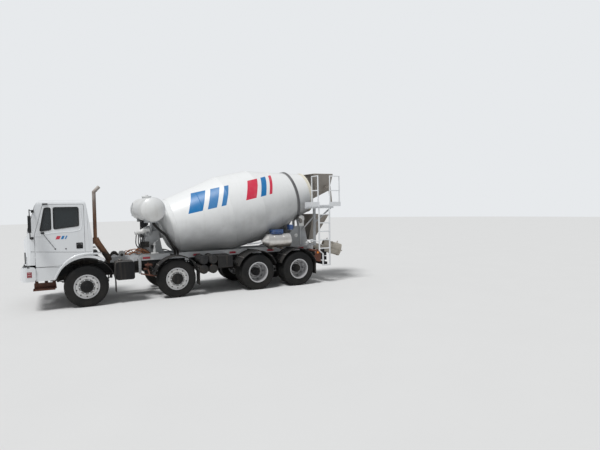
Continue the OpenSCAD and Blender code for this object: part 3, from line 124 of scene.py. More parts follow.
class Bench:
    """Makes one mesh piece at a time with Blender's own operators."""

    @staticmethod
    def clear() -> None:
        """Leaves edit mode and deselects everything."""
        if bpy.context.object and bpy.context.object.mode != "OBJECT":
            bpy.ops.object.mode_set(mode="OBJECT")
        bpy.ops.object.select_all(action="DESELECT")

    @staticmethod
    def edit() -> None:
        """Enters edit mode on the active piece with everything selected."""
        bpy.ops.object.mode_set(mode="EDIT")
        bpy.ops.mesh.select_all(action="SELECT")

    @staticmethod
    def face_out() -> None:
        """Turns every face outward and leaves edit mode."""
        bpy.ops.mesh.select_all(action="SELECT")
        bpy.ops.mesh.normals_make_consistent(inside=False)
        bpy.ops.object.mode_set(mode="OBJECT")

    @staticmethod
    def settle(piece: Piece, angle: float = 35.0) -> Piece:
        """Applies the piece's place and shades it smooth below an angle.

        Args:
            piece: the new piece.
            angle: edges flatter than this many degrees look smooth.

        Returns:
            The same piece, at the origin with its place in its mesh.
        """
        Bench.clear()
        piece.select_set(True)
        bpy.context.view_layer.objects.active = piece
        for modifier in list(piece.modifiers):
            bpy.ops.object.modifier_apply(modifier=modifier.name)
        bpy.ops.object.transform_apply(location=True, rotation=True, scale=True)
        bpy.ops.object.shade_smooth_by_angle(angle=math.radians(angle))
        return piece

    @staticmethod
    def block(name: str, low: Point, high: Point, edge: float = 0.004) -> Piece:
        """Makes a block with rounded edges.

        Args:
            name: name of the piece.
            low: lowest corner.
            high: highest corner.
            edge: radius of the edges.

        Returns:
            The block.
        """
        Bench.clear()
        size = [b - a for a, b in zip(low, high)]
        middle = [(a + b) / 2 for a, b in zip(low, high)]
        bpy.ops.mesh.primitive_cube_add(size=1, location=middle, scale=size)
        piece = bpy.context.object
        piece.name = name
        bpy.ops.object.transform_apply(location=False, rotation=False, scale=True)
        Bench.edit()
        bpy.ops.mesh.bevel(offset=min(edge, 0.45 * min(size)), segments=2, affect="EDGES")
        bpy.ops.object.mode_set(mode="OBJECT")
        return Bench.settle(piece)

    @staticmethod
    def turned(name: str, centre: Point, axis: Point, profile: Profile, sides: int = 32,
               closed: bool = True) -> Piece:
        """Makes a turned piece from its radii along an axis.

        Args:
            name: name of the piece.
            centre: where the axis starts.
            axis: direction of the axis.
            profile: pairs of radius and distance along the axis.
            sides: facets round the axis.
            closed: caps both ends, or leaves a thin open tube.

        Returns:
            The turned piece.
        """
        Bench.clear()
        radius, along = profile[0]
        bpy.ops.mesh.primitive_circle_add(vertices=sides, radius=radius, location=(0, 0, 0),
                                          fill_type="NGON" if closed else "NOTHING")
        piece = bpy.context.object
        piece.name = name
        Bench.edit()
        bpy.ops.transform.translate(value=(0, 0, along))
        extrude = (bpy.ops.mesh.extrude_region_move if closed else bpy.ops.mesh.extrude_edges_move)
        for next_radius, next_along in profile[1:]:
            extrude(TRANSFORM_OT_translate={"value": (0, 0, next_along - along)})
            grow = next_radius / radius
            bpy.ops.transform.resize(value=(grow, grow, 1), center_override=(0, 0, next_along))
            radius, along = next_radius, next_along
        bpy.ops.mesh.select_all(action="SELECT")
        bpy.ops.mesh.remove_doubles(threshold=1e-5)
        Bench.face_out()
        piece.rotation_mode = "QUATERNION"
        piece.rotation_quaternion = Vector(axis).to_track_quat("Z", "Y")
        piece.location = centre
        return Bench.settle(piece)

    @staticmethod
    def tube(name: str, points: Sequence[Point], radius: float, sides: int = 3,
             smooth: bool = True) -> Piece:
        """Makes a bent tube along points.

        Args:
            name: name of the piece.
            points: the line that the tube follows.
            radius: radius of the tube.
            sides: roundness of the tube, 3 gives ten facets.
            smooth: curves through the points, or bends sharply at them.

        Returns:
            The tube as a mesh.
        """
        Bench.clear()
        line = bpy.data.curves.new(name, "CURVE")
        line.dimensions = "3D"
        line.bevel_depth = radius
        line.bevel_resolution = sides
        line.resolution_u = 6
        line.use_fill_caps = True
        spline = line.splines.new("BEZIER" if smooth else "POLY")
        target = spline.bezier_points if smooth else spline.points
        target.add(len(points) - 1)
        for knot, place in zip(target, points):
            if smooth:
                knot.co = place
                knot.handle_left_type = knot.handle_right_type = "AUTO"
            else:
                knot.co = (*place, 1.0)
        piece = bpy.data.objects.new(name, line)
        bpy.context.scene.collection.objects.link(piece)
        piece.select_set(True)
        bpy.context.view_layer.objects.active = piece
        bpy.ops.object.convert(target="MESH")
        return Bench.settle(bpy.context.object, 50.0)

    @staticmethod
    def plate(name: str, outline: Sequence[Point], thick: Point, edge: float = 0.002) -> Piece:
        """Makes a flat plate from its outline.

        Args:
            name: name of the piece.
            outline: corners of one face, in order.
            thick: direction and amount that the face is pushed out by.
            edge: radius of the plate's edges.

        Returns:
            The plate.
        """
        Bench.clear()
        bpy.ops.mesh.primitive_circle_add(vertices=len(outline), radius=1, fill_type="NGON")
        piece = bpy.context.object
        piece.name = name
        for vertex, place in zip(piece.data.vertices, outline):
            vertex.co = place
        Bench.edit()
        bpy.ops.mesh.extrude_region_move(TRANSFORM_OT_translate={"value": thick})
        bpy.ops.mesh.select_all(action="SELECT")
        bpy.ops.mesh.normals_make_consistent(inside=False)
        if edge > 0:
            bpy.ops.mesh.bevel(offset=edge, segments=1, affect="EDGES")
        bpy.ops.object.mode_set(mode="OBJECT")
        return Bench.settle(piece)

    @staticmethod
    def copies(name: str, model: Piece, places: Iterable[Matrix]) -> Piece:
        """Copies a small model to many places and joins the copies into one piece.

        Args:
            name: name of the joined piece.
            model: the small model, which is used up.
            places: one matrix for each copy.

        Returns:
            The joined piece.
        """
        Bench.clear()
        made = []
        for place in places:
            twin = bpy.data.objects.new(name, model.data.copy())
            twin.data.transform(place)
            if place.determinant() < 0:
                twin.data.flip_normals()
            bpy.context.scene.collection.objects.link(twin)
            made.append(twin)
        bpy.data.objects.remove(model)
        return Bench.joined(name, made)

    @staticmethod
    def joined(name: str, parts: Sequence[Piece]) -> Piece:
        """Joins parts into one piece.

        Args:
            name: name of the joined piece.
            parts: the parts, which are used up.

        Returns:
            The joined piece.
        """
        Bench.clear()
        for part in parts:
            part.select_set(True)
        bpy.context.view_layer.objects.active = parts[0]
        if len(parts) > 1:
            bpy.ops.object.join()
        piece = bpy.context.object
        piece.name = name
        return piece

    @staticmethod
    def mirrored(piece: Piece, name: str) -> Piece:
        """Returns a copy of a piece on the truck's other side."""
        twin = bpy.data.objects.new(name, piece.data.copy())
        twin.data.transform(Matrix.Scale(-1, 4, (0, 1, 0)))
        twin.data.flip_normals()
        bpy.context.scene.collection.objects.link(twin)
        return twin


def behind(points: Iterable[Point]) -> list[Point]:
    """Turns points given behind the first axle into points of the model."""
    return [(PLAN.at(s), y, z) for s, y, z in points]


def box(name: str, low: Point, high: Point, edge: float = 0.004) -> Piece:
    """Makes a rounded block whose corners are given behind the first axle."""
    return Bench.block(name, *behind((low, high)), edge)


def rod(name: str, points: Iterable[Point], radius: float, sides: int = 3,
        smooth: bool = True) -> Piece:
    """Makes a tube whose points are given behind the first axle."""
    return Bench.tube(name, behind(points), radius, sides, smooth)


def turned(name: str, start: Point, axis: Point, profile: Profile, sides: int = 32,
           closed: bool = True) -> Piece:
    """Makes a turned piece whose start is given behind the first axle."""
    return Bench.turned(name, *behind([start]), axis, profile, sides, closed)


def place_on(piece: Piece, body: Body | str, finish: str, slot: str = "") -> None:
    """Dresses a new piece and lets it ride.

    Args:
        piece: the piece.
        body: the body that it moves with, or the name of one wheel.
        finish: name of its finish.
        slot: the slot that it stands for, if not the finish's own; it is not used.
    """
    piece.data.materials.clear()
    piece.data.materials.append(Paints.get(finish))
    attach(piece, body.value if isinstance(body, Body) else body)
    slot or Paints.spec(finish).slot
    log.info("piece %s", piece.name)


def place_all(name: str, parts: Sequence[Piece], body: Body | str, finish: str, slot: str = ""
              ) -> None:
    """Joins parts into one piece, dresses it and lets it ride, with place_on's arguments."""
    place_on(Bench.joined(name, parts), body, finish, slot)


def place_pair(name: str, parts: Sequence[Piece], body: Body, finish: str, slot: str = "") -> None:
    """Joins parts of the driver's side, and dresses the piece and its mirrored twin.

    Args:
        name: name of the pair, to which each side adds its own ending.
        parts: the parts of the driver's side.
        body: the body of the driver's piece; a door's twin rides on the other door.
        finish: name of their finish.
        slot: the slot that they stand for, if not the finish's own, passed on to place_on.
    """
    piece = Bench.joined(f"{name}_driver", parts)
    twin = Bench.mirrored(piece, f"{name}_far")
    place_on(piece, body, finish, slot)
    place_on(twin, Body.DOOR_RIGHT if body is Body.DOOR_LEFT else body, finish, slot)


class Shade:
    """Small tools for node trees."""

    def __init__(self, tree: Tree) -> None:
        """Starts on a node tree.

        Args:
            tree: the material's or group's nodes.
        """
        self.tree = tree
        self.column = 0

    def node(self, kind: str, **values: object) -> Node:
        """Adds a node.

        Args:
            kind: the node's type name.
            values: attributes by name, and sockets by their name with _ for a space.

        Returns:
            The node.
        """
        made = self.tree.nodes.new(kind)
        self.column += 1
        made.location = (self.column * 60, -(self.column % 7) * 140)
        for key, value in values.items():
            if hasattr(made, key):
                setattr(made, key, value)
            else:
                self.feed(made.inputs[key.replace("_", " ")], value)
        return made

    def feed(self, socket: Socket, value: object) -> None:
        """Links a socket into an input, or sets the input to a value."""
        if isinstance(value, bpy.types.NodeSocket):
            self.tree.links.new(value, socket)
        elif isinstance(value, tuple) and len(value) == 3 and socket.type == "RGBA":
            socket.default_value = (*value, 1.0)
        else:
            socket.default_value = value

    def math(self, operation: str, first: object, second: object = 0.0,
             clamp: bool = False) -> Socket:
        """Returns the result of a Math node on two values or sockets."""
        made = self.tree.nodes.new("ShaderNodeMath")
        made.operation = operation
        made.use_clamp = clamp
        self.feed(made.inputs[0], first)
        self.feed(made.inputs[1], second)
        return made.outputs[0]

    def ramp(self, value: object, low: float, high: float) -> Socket:
        """Returns 0 below low, 1 above high and a smooth step between."""
        made = self.node("ShaderNodeMapRange", interpolation_type="SMOOTHSTEP")
        for name, number in (("Value", value), ("From Min", low), ("From Max", high)):
            self.feed(made.inputs[name], number)
        return made.outputs["Result"]

    def below(self, value: object, low: float, high: float) -> Socket:
        """Returns 1 below low, 0 above high and a smooth step between."""
        return self.math("SUBTRACT", 1.0, self.ramp(value, low, high))

    def mix(self, share: object, first: object, second: object) -> Socket:
        """Returns a colour mixed from two by a share."""
        made = self.tree.nodes.new("ShaderNodeMix")
        made.data_type = "RGBA"
        self.feed(made.inputs[0], share)
        self.feed(made.inputs[6], first)
        self.feed(made.inputs[7], second)
        return made.outputs[2]

    def band(self, value: object, middle: float, half: float, soft: float = 0.004) -> Socket:
        """Returns 1 where a value lies within half of its middle."""
        away = self.math("ABSOLUTE", self.math("SUBTRACT", value, middle))
        return self.below(away, half - soft, half + soft)

    def noise(self, place: object, scale: object, detail: float = 4.0) -> Socket:
        """Returns a noise value at a place."""
        made = self.node("ShaderNodeTexNoise", Vector=place, Scale=scale, Detail=detail)
        return made.outputs["Fac"]


class Groups:
    """Shader groups that many finishes share, each built once."""

    made: dict[str, Tree] = {}

    @classmethod
    def tree(cls, name: str, inputs: Sequence[tuple[str, str]], outputs: Sequence[tuple[str, str]],
             fill: Callable[[Shade, Node, Node], None]) -> Tree:
        """Builds a group, or finds it.

        Args:
            name: name of the group.
            inputs: names and kinds of the input sockets.
            outputs: names and kinds of the output sockets.
            fill: draws the group's nodes between its input and output node.

        Returns:
            The group's node tree.
        """
        if name not in cls.made:
            made = bpy.data.node_groups.new(name, "ShaderNodeTree")
            for title, kind in inputs:
                made.interface.new_socket(title, in_out="INPUT", socket_type=kind)
            for title, kind in outputs:
                made.interface.new_socket(title, in_out="OUTPUT", socket_type=kind)
            shade = Shade(made)
            fill(shade, shade.node("NodeGroupInput"), shade.node("NodeGroupOutput"))
            cls.made[name] = made
        return cls.made[name]

    @classmethod
    def weather(cls) -> Tree:
        """Fading, rain streaks and dust that thins out with height."""

        def fill(shade: Shade, given: Node, out: Node) -> None:
            """Draws the group."""
            place = given.outputs["Place"]
            fine = shade.noise(place, given.outputs["Grain"], 6.0)
            broad = shade.noise(place, 1.7, 3.0)
            faded = shade.math("MULTIPLY", shade.ramp(broad, 0.42, 0.66), given.outputs["Blotch"])
            tall = shade.node("ShaderNodeVectorMath", operation="MULTIPLY")
            shade.feed(tall.inputs[0], place)
            shade.feed(tall.inputs[1], (11.0, 11.0, 0.7))
            runs = shade.ramp(shade.noise(tall.outputs[0], 1.0, 3.0), 0.52, 0.74)
            runs = shade.math("MULTIPLY", runs, given.outputs["Streak"])
            height = shade.node("ShaderNodeSeparateXYZ", Vector=place).outputs["Z"]
            low = shade.math("SUBTRACT", 1.0, shade.math("DIVIDE", height,
                                                         given.outputs["Dust Height"]), clamp=True)
            patchy = shade.math("ADD", 0.35, shade.ramp(shade.noise(place, 5.0, 5.0), 0.3, 0.7))
            dust = shade.math("MULTIPLY", shade.math("MULTIPLY", low, patchy),
                              given.outputs["Dust Amount"], clamp=True)
            colour = shade.mix(faded, given.outputs["Paint"], given.outputs["Faded"])
            colour = shade.mix(shade.math("MULTIPLY", runs, 0.6), colour, given.outputs["Dust"])
            colour = shade.mix(dust, colour, given.outputs["Dust"])
            shade.feed(out.inputs["Colour"], colour)
            shade.feed(out.inputs["Dull"], shade.math(
                "ADD", shade.math("ADD", dust, shade.math("MULTIPLY", runs, 0.5)),
                shade.math("MULTIPLY", fine, 0.3), clamp=True))
            shade.feed(out.inputs["Height"], fine)

        scalar, colour = "NodeSocketFloat", "NodeSocketColor"
        return cls.tree(
            "weather",
            [("Place", "NodeSocketVector"), ("Paint", colour), ("Faded", colour),
             ("Dust", colour), ("Grain", scalar), ("Blotch", scalar), ("Streak", scalar),
             ("Dust Height", scalar), ("Dust Amount", scalar)],
            [("Colour", colour), ("Dull", scalar), ("Height", scalar)], fill)

    @classmethod
    def spots(cls) -> Tree:
        """Sharp-edged spots, for chips of rust and splashes of concrete."""

        def fill(shade: Shade, given: Node, out: Node) -> None:
            """Draws the group."""
            place, size = given.outputs["Place"], given.outputs["Scale"]
            rough = shade.noise(place, size, 8.0)
            limit = shade.math("SUBTRACT", 0.8, shade.math("MULTIPLY", given.outputs["Amount"], 0.45))
            over = shade.math("SUBTRACT", rough, limit)
            shade.feed(out.inputs["Mask"], shade.ramp(over, 0.0, 0.035))

        return cls.tree(
            "spots",
            [("Place", "NodeSocketVector"), ("Scale", "NodeSocketFloat"),
             ("Amount", "NodeSocketFloat")],
            [("Mask", "NodeSocketFloat")], fill)


ROAD_DUST: Colour = (0.33, 0.28, 0.22)
CEMENT: Colour = (0.42, 0.40, 0.36)
RUST: Colour = (0.20, 0.075, 0.032)


@dataclass(frozen=True)
class Finish:
    """A weathered finish: its paint, how it fades and what has settled on it."""

    name: str
    slot: str
    paint: Colour
    faded: Colour
    dust: Colour = ROAD_DUST
    grain: float = 60.0
    blotch: float = 0.5
    streak: float = 0.2
    dust_height: float = 1.6
    dust_amount: float = 0.4
    gloss: tuple[float, float] = (0.3, 0.75)
    metallic: float = 0.0
    relief: float = 0.15
    relief_depth: float = 0.002
    spot_colour: Colour = RUST
    spot_scale: float = 14.0
    spots: float = 0.25
    coat: float = 0.0
    shine: float = 0.5
    see_through: float = 0.0

    def pattern(self, shade: Shade, place: Socket, colour: Socket) -> Socket:
        """Returns the colour with the finish's own pattern painted over it."""
        return colour

    def build(self) -> Material:
        """Builds the material.

        Returns:
            The material, ready to be given to a piece.
        """
        made = bpy.data.materials.new(self.name)
        made.use_nodes = True
        made.node_tree.nodes.clear()
        shade = Shade(made.node_tree)
        place = shade.node("ShaderNodeTexCoord").outputs["Object"]
        weather = shade.node("ShaderNodeGroup", node_tree=Groups.weather())
        for title, value in (("Place", place), ("Faded", self.faded), ("Dust", self.dust),
                             ("Grain", self.grain), ("Blotch", self.blotch),
                             ("Streak", self.streak), ("Dust Height", self.dust_height),
                             ("Dust Amount", self.dust_amount)):
            shade.feed(weather.inputs[title], value)
        base = shade.node("ShaderNodeRGB")
        base.outputs[0].default_value = (*self.paint, 1.0)
        shade.feed(weather.inputs["Paint"], self.pattern(shade, place, base.outputs[0]))
        spots = shade.node("ShaderNodeGroup", node_tree=Groups.spots())
        for title, value in (("Place", place), ("Scale", self.spot_scale), ("Amount", self.spots)):
            shade.feed(spots.inputs[title], value)
        colour = shade.mix(spots.outputs["Mask"], weather.outputs["Colour"], self.spot_colour)
        low, high = self.gloss
        rough = shade.math("ADD", low, shade.math("MULTIPLY", weather.outputs["Dull"], high - low))
        rough = shade.math("MAXIMUM", rough, shade.math("MULTIPLY", spots.outputs["Mask"], 0.85))
        bump = shade.node("ShaderNodeBump", Strength=self.relief, Distance=self.relief_depth)
        height = shade.math("ADD", weather.outputs["Height"],
                            shade.math("MULTIPLY", spots.outputs["Mask"], 0.4))
        shade.feed(bump.inputs["Height"], height)
        shader = shade.node("ShaderNodeBsdfPrincipled")
        shader.inputs["Metallic"].default_value = self.metallic
        shader.inputs["Coat Weight"].default_value = self.coat
        shader.inputs["Specular IOR Level"].default_value = self.shine
        shader.inputs["Transmission Weight"].default_value = self.see_through
        shade.feed(shader.inputs["Base Color"], colour)
        shade.feed(shader.inputs["Roughness"], rough)
        shade.feed(shader.inputs["Normal"], bump.outputs["Normal"])
        out = shade.node("ShaderNodeOutputMaterial")
        shade.feed(out.inputs["Surface"], shader.outputs["BSDF"])
        return made


@dataclass(frozen=True)
class DrumFinish(Finish):
    """White drum with a plain motif of slanted bars, a dark roller track and a painted shade that
    greys its belly.
    """

    blue: Colour = (0.005, 0.17, 0.44)
    red: Colour = (0.62, 0.03, 0.07)
    track: float = 4.275
    mouth: float = 4.79
    # Bars as place along the axis, half width and colour choice, low and high edge
    bars: tuple[tuple[float, float, int], ...] = (
        (0.80, 0.20, 0), (1.27, 0.13, 0), (1.60, 0.07, 0), (2.45, 0.17, 1), (2.86, 0.10, 0),
        (3.14, 0.055, 1))
    bar_height: float = 0.56
    bar_half: float = 0.27
    lean: float = 0.55
    # Grey of the painted shade on the drum's underside, and the heights over which it comes in
    belly_shade: Colour = (0.26, 0.265, 0.27)
    shade_range: tuple[float, float] = (-0.05, 1.1)
    track_colour: Colour = (0.10, 0.10, 0.105)
    track_half: float = 0.043
    mouth_colour: Colour = (0.72, 0.66, 0.50)

    def pattern(self, shade: Shade, place: Socket, colour: Socket) -> Socket:
        """Returns the white with its bars, a painted shade on its belly, the track and mouth band."""
        turn = shade.node("ShaderNodeMapping", vector_type="TEXTURE")
        turn.inputs["Location"].default_value = PLAN.on_drum(0, 0, 0)
        turn.inputs["Rotation"].default_value = (0, -PLAN.drum_slope, 0)
        shade.feed(turn.inputs["Vector"], place)
        parts = shade.node("ShaderNodeSeparateXYZ", Vector=turn.outputs["Vector"])
        along, up = parts.outputs["X"], parts.outputs["Z"]
        lean = shade.math("SUBTRACT", along, shade.math("MULTIPLY", up, self.lean))
        for middle, half, choice in self.bars:
            bar = shade.math("MULTIPLY", shade.band(lean, middle, half),
                             shade.band(up, self.bar_height, self.bar_half))
            colour = shade.mix(bar, colour, self.red if choice else self.blue)
        # Painted shade: the white greys towards the drum's underside, with a noisy edge
        mottle = shade.noise(place, 2.6, 6.0)
        low = shade.ramp(shade.math("SUBTRACT", shade.math("MULTIPLY", mottle, 0.5), up),
                         *self.shade_range)
        colour = shade.mix(shade.math("MULTIPLY", low, 0.85), colour, self.belly_shade)
        track = shade.band(along, self.track, self.track_half)
        colour = shade.mix(track, colour, self.track_colour)
        end = shade.ramp(along, self.mouth, self.mouth + 0.004)
        return shade.mix(shade.math("MULTIPLY", end, 0.7), colour, self.mouth_colour)


@dataclass(frozen=True)
class WheelFinish(Finish):
    """Silver wheel whose hub is black, centred on its own axle."""

    centre: Point = (0.0, 0.0, 0.0)
    hub_radius: float = 0.125
    hub: Colour = (0.018, 0.018, 0.02)
    # Radius of the dirty ring, its half width and how soft its edges are
    ring: tuple[float, float, float] = (0.170, 0.022, 0.012)
    brake_dust: Colour = (0.10, 0.095, 0.09)

    def pattern(self, shade: Shade, place: Socket, colour: Socket) -> Socket:
        """Returns the silver with a black hub and a darker ring where brake dust gathers."""
        moved = shade.node("ShaderNodeMapping", vector_type="TEXTURE")
        moved.inputs["Location"].default_value = self.centre
        shade.feed(moved.inputs["Vector"], place)
        parts = shade.node("ShaderNodeSeparateXYZ", Vector=moved.outputs["Vector"])
        squares = shade.math("ADD", shade.math("POWER", parts.outputs["X"], 2.0),
                             shade.math("POWER", parts.outputs["Z"], 2.0))
        radius = shade.math("SQRT", squares)
        mottle = shade.noise(place, 24.0, 5.0)
        ring = shade.math("MULTIPLY", shade.band(radius, *self.ring), shade.ramp(mottle, 0.25, 0.50))
        colour = shade.mix(shade.math("MULTIPLY", ring, 0.75), colour, self.brake_dust)
        hub = shade.below(radius, self.hub_radius - 0.002, self.hub_radius + 0.002)
        return shade.mix(hub, colour, self.hub)


@dataclass(frozen=True)
class PipeFinish(Finish):
    """Burnt exhaust metal, brown below and pale grey at the tip, with painted shade that turns its
    foot black.
    """

    pale: Colour = (0.50, 0.47, 0.44)
    pale_from: float = 2.35
    # Black of the painted shade on the pipe's foot behind the cab, and the height below which it lies
    black: Colour = (0.022, 0.021, 0.02)
    black_below: float = 1.36
    soft: float = 0.35

    def pattern(self, shade: Shade, place: Socket, colour: Socket) -> Socket:
        """Returns the brown with a pale top and a foot blackened by painted shade, in uneven steps.
        """
        height = shade.node("ShaderNodeSeparateXYZ", Vector=place).outputs["Z"]
        wavy = shade.math("ADD", height, shade.math("MULTIPLY", shade.noise(place, 9.0), 0.16))
        tip = shade.ramp(wavy, self.pale_from, self.pale_from + self.soft)
        colour = shade.mix(tip, colour, self.pale)
        # Painted shade: the pipe turns black low down, where it runs in the cab's shade
        foot = shade.below(wavy, self.black_below, self.black_below + 0.1)
        return shade.mix(foot, colour, self.black)


@dataclass(frozen=True)
class TankFinish(Finish):
    """Bare bright metal tank, painted a darker brown towards the bottom."""

    middle: float = 1.405
    reach: float = 0.16
    under: Colour = (0.13, 0.085, 0.05)

    def pattern(self, shade: Shade, place: Socket, colour: Socket) -> Socket:
        """Returns the metal, darker brown below a wavy line."""
        height = shade.node("ShaderNodeSeparateXYZ", Vector=place).outputs["Z"]
        wavy = shade.math("ADD", height, shade.math("MULTIPLY", shade.noise(place, 12.0), 0.08))
        low = shade.below(wavy, self.middle - self.reach, self.middle + self.reach)
        return shade.mix(low, colour, self.under)


class Paints:
    """Every finish of the truck, built once and kept by name."""

    SPECS: tuple[Finish, ...] = (
        Finish("cab_white", "body_white", (0.78, 0.80, 0.82), (0.72, 0.73, 0.74), dust_height=1.5,
               dust_amount=0.16, streak=0.10, blotch=0.3, gloss=(0.2, 0.55), relief=0.04,
               spots=0.0, coat=0.4),
        Finish("truck_white", "body_white", (0.76, 0.77, 0.77), (0.66, 0.65, 0.62), dust_height=2.0,
               dust_amount=0.20, streak=0.22, spots=0.12, gloss=(0.3, 0.7)),
        Finish("frame_black_and_hole_shade", "chassis_black", (0.012, 0.013, 0.015), (0.020, 0.019, 0.019),
               dust_height=1.35, dust_amount=0.05, streak=0.12, spots=0.10, shine=0.15,
               gloss=(0.4, 0.85)),
        Finish("spring_steel", "chassis_black", (0.030, 0.028, 0.028), (0.055, 0.045, 0.038),
               dust_height=1.4, dust_amount=0.14, streak=0.1, shine=0.25, gloss=(0.55, 0.9),
               metallic=0.3),
        Finish("pedestal_grey", "steel_grey", (0.40, 0.42, 0.44), (0.30, 0.30, 0.30), dust=CEMENT,
               dust_height=3.0, dust_amount=0.35, spots=0.22, spot_colour=(0.16, 0.13, 0.11),
               gloss=(0.35, 0.75)),
        Finish("hopper_grey", "steel_grey", (0.31, 0.28, 0.25), (0.22, 0.185, 0.155), dust=CEMENT,
               dust_height=6.0, dust_amount=0.4, streak=0.6, blotch=0.9, spots=0.18,
               spot_colour=(0.17, 0.125, 0.09), spot_scale=7.0, gloss=(0.55, 0.9), relief=0.5,
               relief_depth=0.004),
        Finish("chute_cream", "chute_cream", (0.62, 0.57, 0.49), (0.48, 0.43, 0.36), dust=CEMENT,
               dust_height=3.0, dust_amount=0.35, streak=0.4, blotch=0.8, spots=0.22,
               spot_colour=(0.36, 0.31, 0.25), spot_scale=9.0, gloss=(0.5, 0.9), relief=0.4,
               relief_depth=0.004),
        Finish("black_plastic_and_arm_shadow", "plastic_black", (0.020, 0.021, 0.023), (0.034, 0.034, 0.034),
               dust_height=1.5, dust_amount=0.12, streak=0.1, spots=0.0, shine=0.3,
               gloss=(0.42, 0.8), relief=0.25),
        Finish("guard_black", "plastic_black", (0.014, 0.015, 0.017), (0.026, 0.026, 0.026),
               dust_height=2.0, dust_amount=0.07, streak=0.2, spots=0.10,
               spot_colour=(0.2, 0.19, 0.18), shine=0.28, gloss=(0.4, 0.8), relief=0.3),
        Finish("rubber_and_gap_shade", "rubber", (0.016, 0.016, 0.017), (0.032, 0.031, 0.030), dust_height=2.4,
               dust_amount=0.12, streak=0.1, spots=0.0, shine=0.25, gloss=(0.45, 0.85), relief=0.3),
        Finish("tyre_rubber", "tyre", (0.014, 0.015, 0.016), (0.026, 0.025, 0.025), dust_height=1.2,
               dust_amount=0.04, streak=0.0, blotch=0.8, spots=0.08,
               spot_colour=(0.11, 0.10, 0.09), spot_scale=22.0, shine=0.12, gloss=(0.6, 0.92),
               relief=0.4),
        Finish("cast_dark", "cast_dark", (0.035, 0.034, 0.034), (0.06, 0.052, 0.045), dust_height=1.6,
               dust_amount=0.15, spots=0.25, shine=0.25, gloss=(0.5, 0.9), metallic=0.2, relief=0.5),
        Finish("wheel_silver", "rim_silver", (0.66, 0.66, 0.66), (0.52, 0.50, 0.48), dust_height=1.1,
               dust_amount=0.08, blotch=0.3, spots=0.2, gloss=(0.35, 0.7), metallic=0.3),
        TankFinish("bare_tank", "stainless", (0.80, 0.79, 0.77), (0.66, 0.62, 0.57), middle=1.35,
                   reach=0.10, under=(0.17, 0.135, 0.105), dust_height=1.9, dust_amount=0.12,
                   streak=0.45, spots=0.15, gloss=(0.25, 0.6), metallic=0.7, relief=0.08),
        TankFinish("air_tank_black", "chassis_black", (0.018, 0.019, 0.022),
                   (0.036, 0.034, 0.032), middle=0.78, reach=0.25, under=(0.018, 0.016, 0.014),
                   dust_height=1.5, dust_amount=0.06, shine=0.28, gloss=(0.35, 0.8)),
        PipeFinish("burnt_pipe_and_foot_shade", "rust", (0.25, 0.125, 0.072), (0.13, 0.075, 0.05), dust_height=3.0,
                   dust_amount=0.12, streak=0.4, blotch=0.8, spots=0.35, shine=0.3, gloss=(0.55, 0.9),
                   metallic=0.2, relief=0.5),
        Finish("lamp_clear", "lamp_glass", (0.62, 0.64, 0.66), (0.5, 0.5, 0.5), dust_height=1.8,
               dust_amount=0.12, spots=0.0, gloss=(0.06, 0.4), relief=0.05, coat=1.0,
               see_through=0.35),
        Finish("lamp_red", "tail_red", (0.55, 0.02, 0.015), (0.46, 0.04, 0.02), dust_height=1.4,
               dust_amount=0.15, spots=0.1, gloss=(0.1, 0.45), relief=0.05, coat=1.0),
        Finish("lamp_amber", "tail_red", (0.85, 0.24, 0.015), (0.7, 0.2, 0.03), dust_height=1.4,
               dust_amount=0.1, spots=0.0, gloss=(0.1, 0.45), relief=0.05, coat=1.0),
        Finish("seat_cloth", "seat_cloth", (0.06, 0.062, 0.07), (0.09, 0.09, 0.095), dust_amount=0.1,
               spots=0.0, gloss=(0.85, 0.98), relief=0.6),
        Finish("dark_glass", "glass", (0.07, 0.09, 0.10), (0.09, 0.11, 0.12), dust_height=2.8,
               dust_amount=0.08, streak=0.2, blotch=0.4, spots=0.0, gloss=(0.02, 0.2),
               relief=0.01, coat=0.6, see_through=0.7),
        Finish("mirror_face", "lamp_glass", (0.72, 0.74, 0.76), (0.6, 0.6, 0.6), dust_amount=0.1,
               spots=0.0, gloss=(0.02, 0.2), metallic=1.0, relief=0.01),
        Finish("bolt_steel", "steel_grey", (0.30, 0.30, 0.30), (0.18, 0.16, 0.14), dust_height=2.6,
               dust_amount=0.2, spots=0.3, gloss=(0.4, 0.8), metallic=0.6),
        Finish("copper_hose", "rust", (0.34, 0.13, 0.05), (0.18, 0.085, 0.045), dust_height=2.2,
               dust_amount=0.15, spots=0.15, gloss=(0.4, 0.75), relief=0.4),
        Finish("crate_blue", "plastic_black", (0.03, 0.10, 0.30), (0.08, 0.15, 0.30), dust_height=2.4,
               dust_amount=0.2, spots=0.1, gloss=(0.45, 0.8)),
        Finish("oxide_red", "rust", (0.13, 0.045, 0.030), (0.07, 0.036, 0.03), dust_height=1.5,
               dust_amount=0.2, spots=0.3, spot_colour=(0.05, 0.03, 0.025), shine=0.2,
               gloss=(0.55, 0.9)),
        Finish("plate_blank", "body_white", (0.66, 0.66, 0.63), (0.55, 0.54, 0.5), dust_amount=0.2,
               spots=0.1, gloss=(0.35, 0.7)),
        Finish("mark_blue", "body_white", (0.012, 0.20, 0.48), (0.05, 0.24, 0.46), dust_amount=0.15,
               spots=0.0, gloss=(0.3, 0.6), relief=0.04),
        Finish("mark_red", "body_white", (0.62, 0.04, 0.08), (0.55, 0.10, 0.12), dust_amount=0.15,
               spots=0.0, gloss=(0.3, 0.6), relief=0.04),
        Finish("mark_deep", "body_white", (0.30, 0.015, 0.035), (0.26, 0.04, 0.05), dust_amount=0.15,
               spots=0.0, gloss=(0.3, 0.6), relief=0.04),
        DrumFinish("drum_white", "body_white", (0.82, 0.83, 0.83), (0.76, 0.76, 0.75), dust=CEMENT,
                   dust_height=1.2, dust_amount=0.15, streak=0.12, blotch=0.08, spots=0.10,
                   spot_colour=(0.42, 0.40, 0.37), gloss=(0.3, 0.7), relief=0.2))
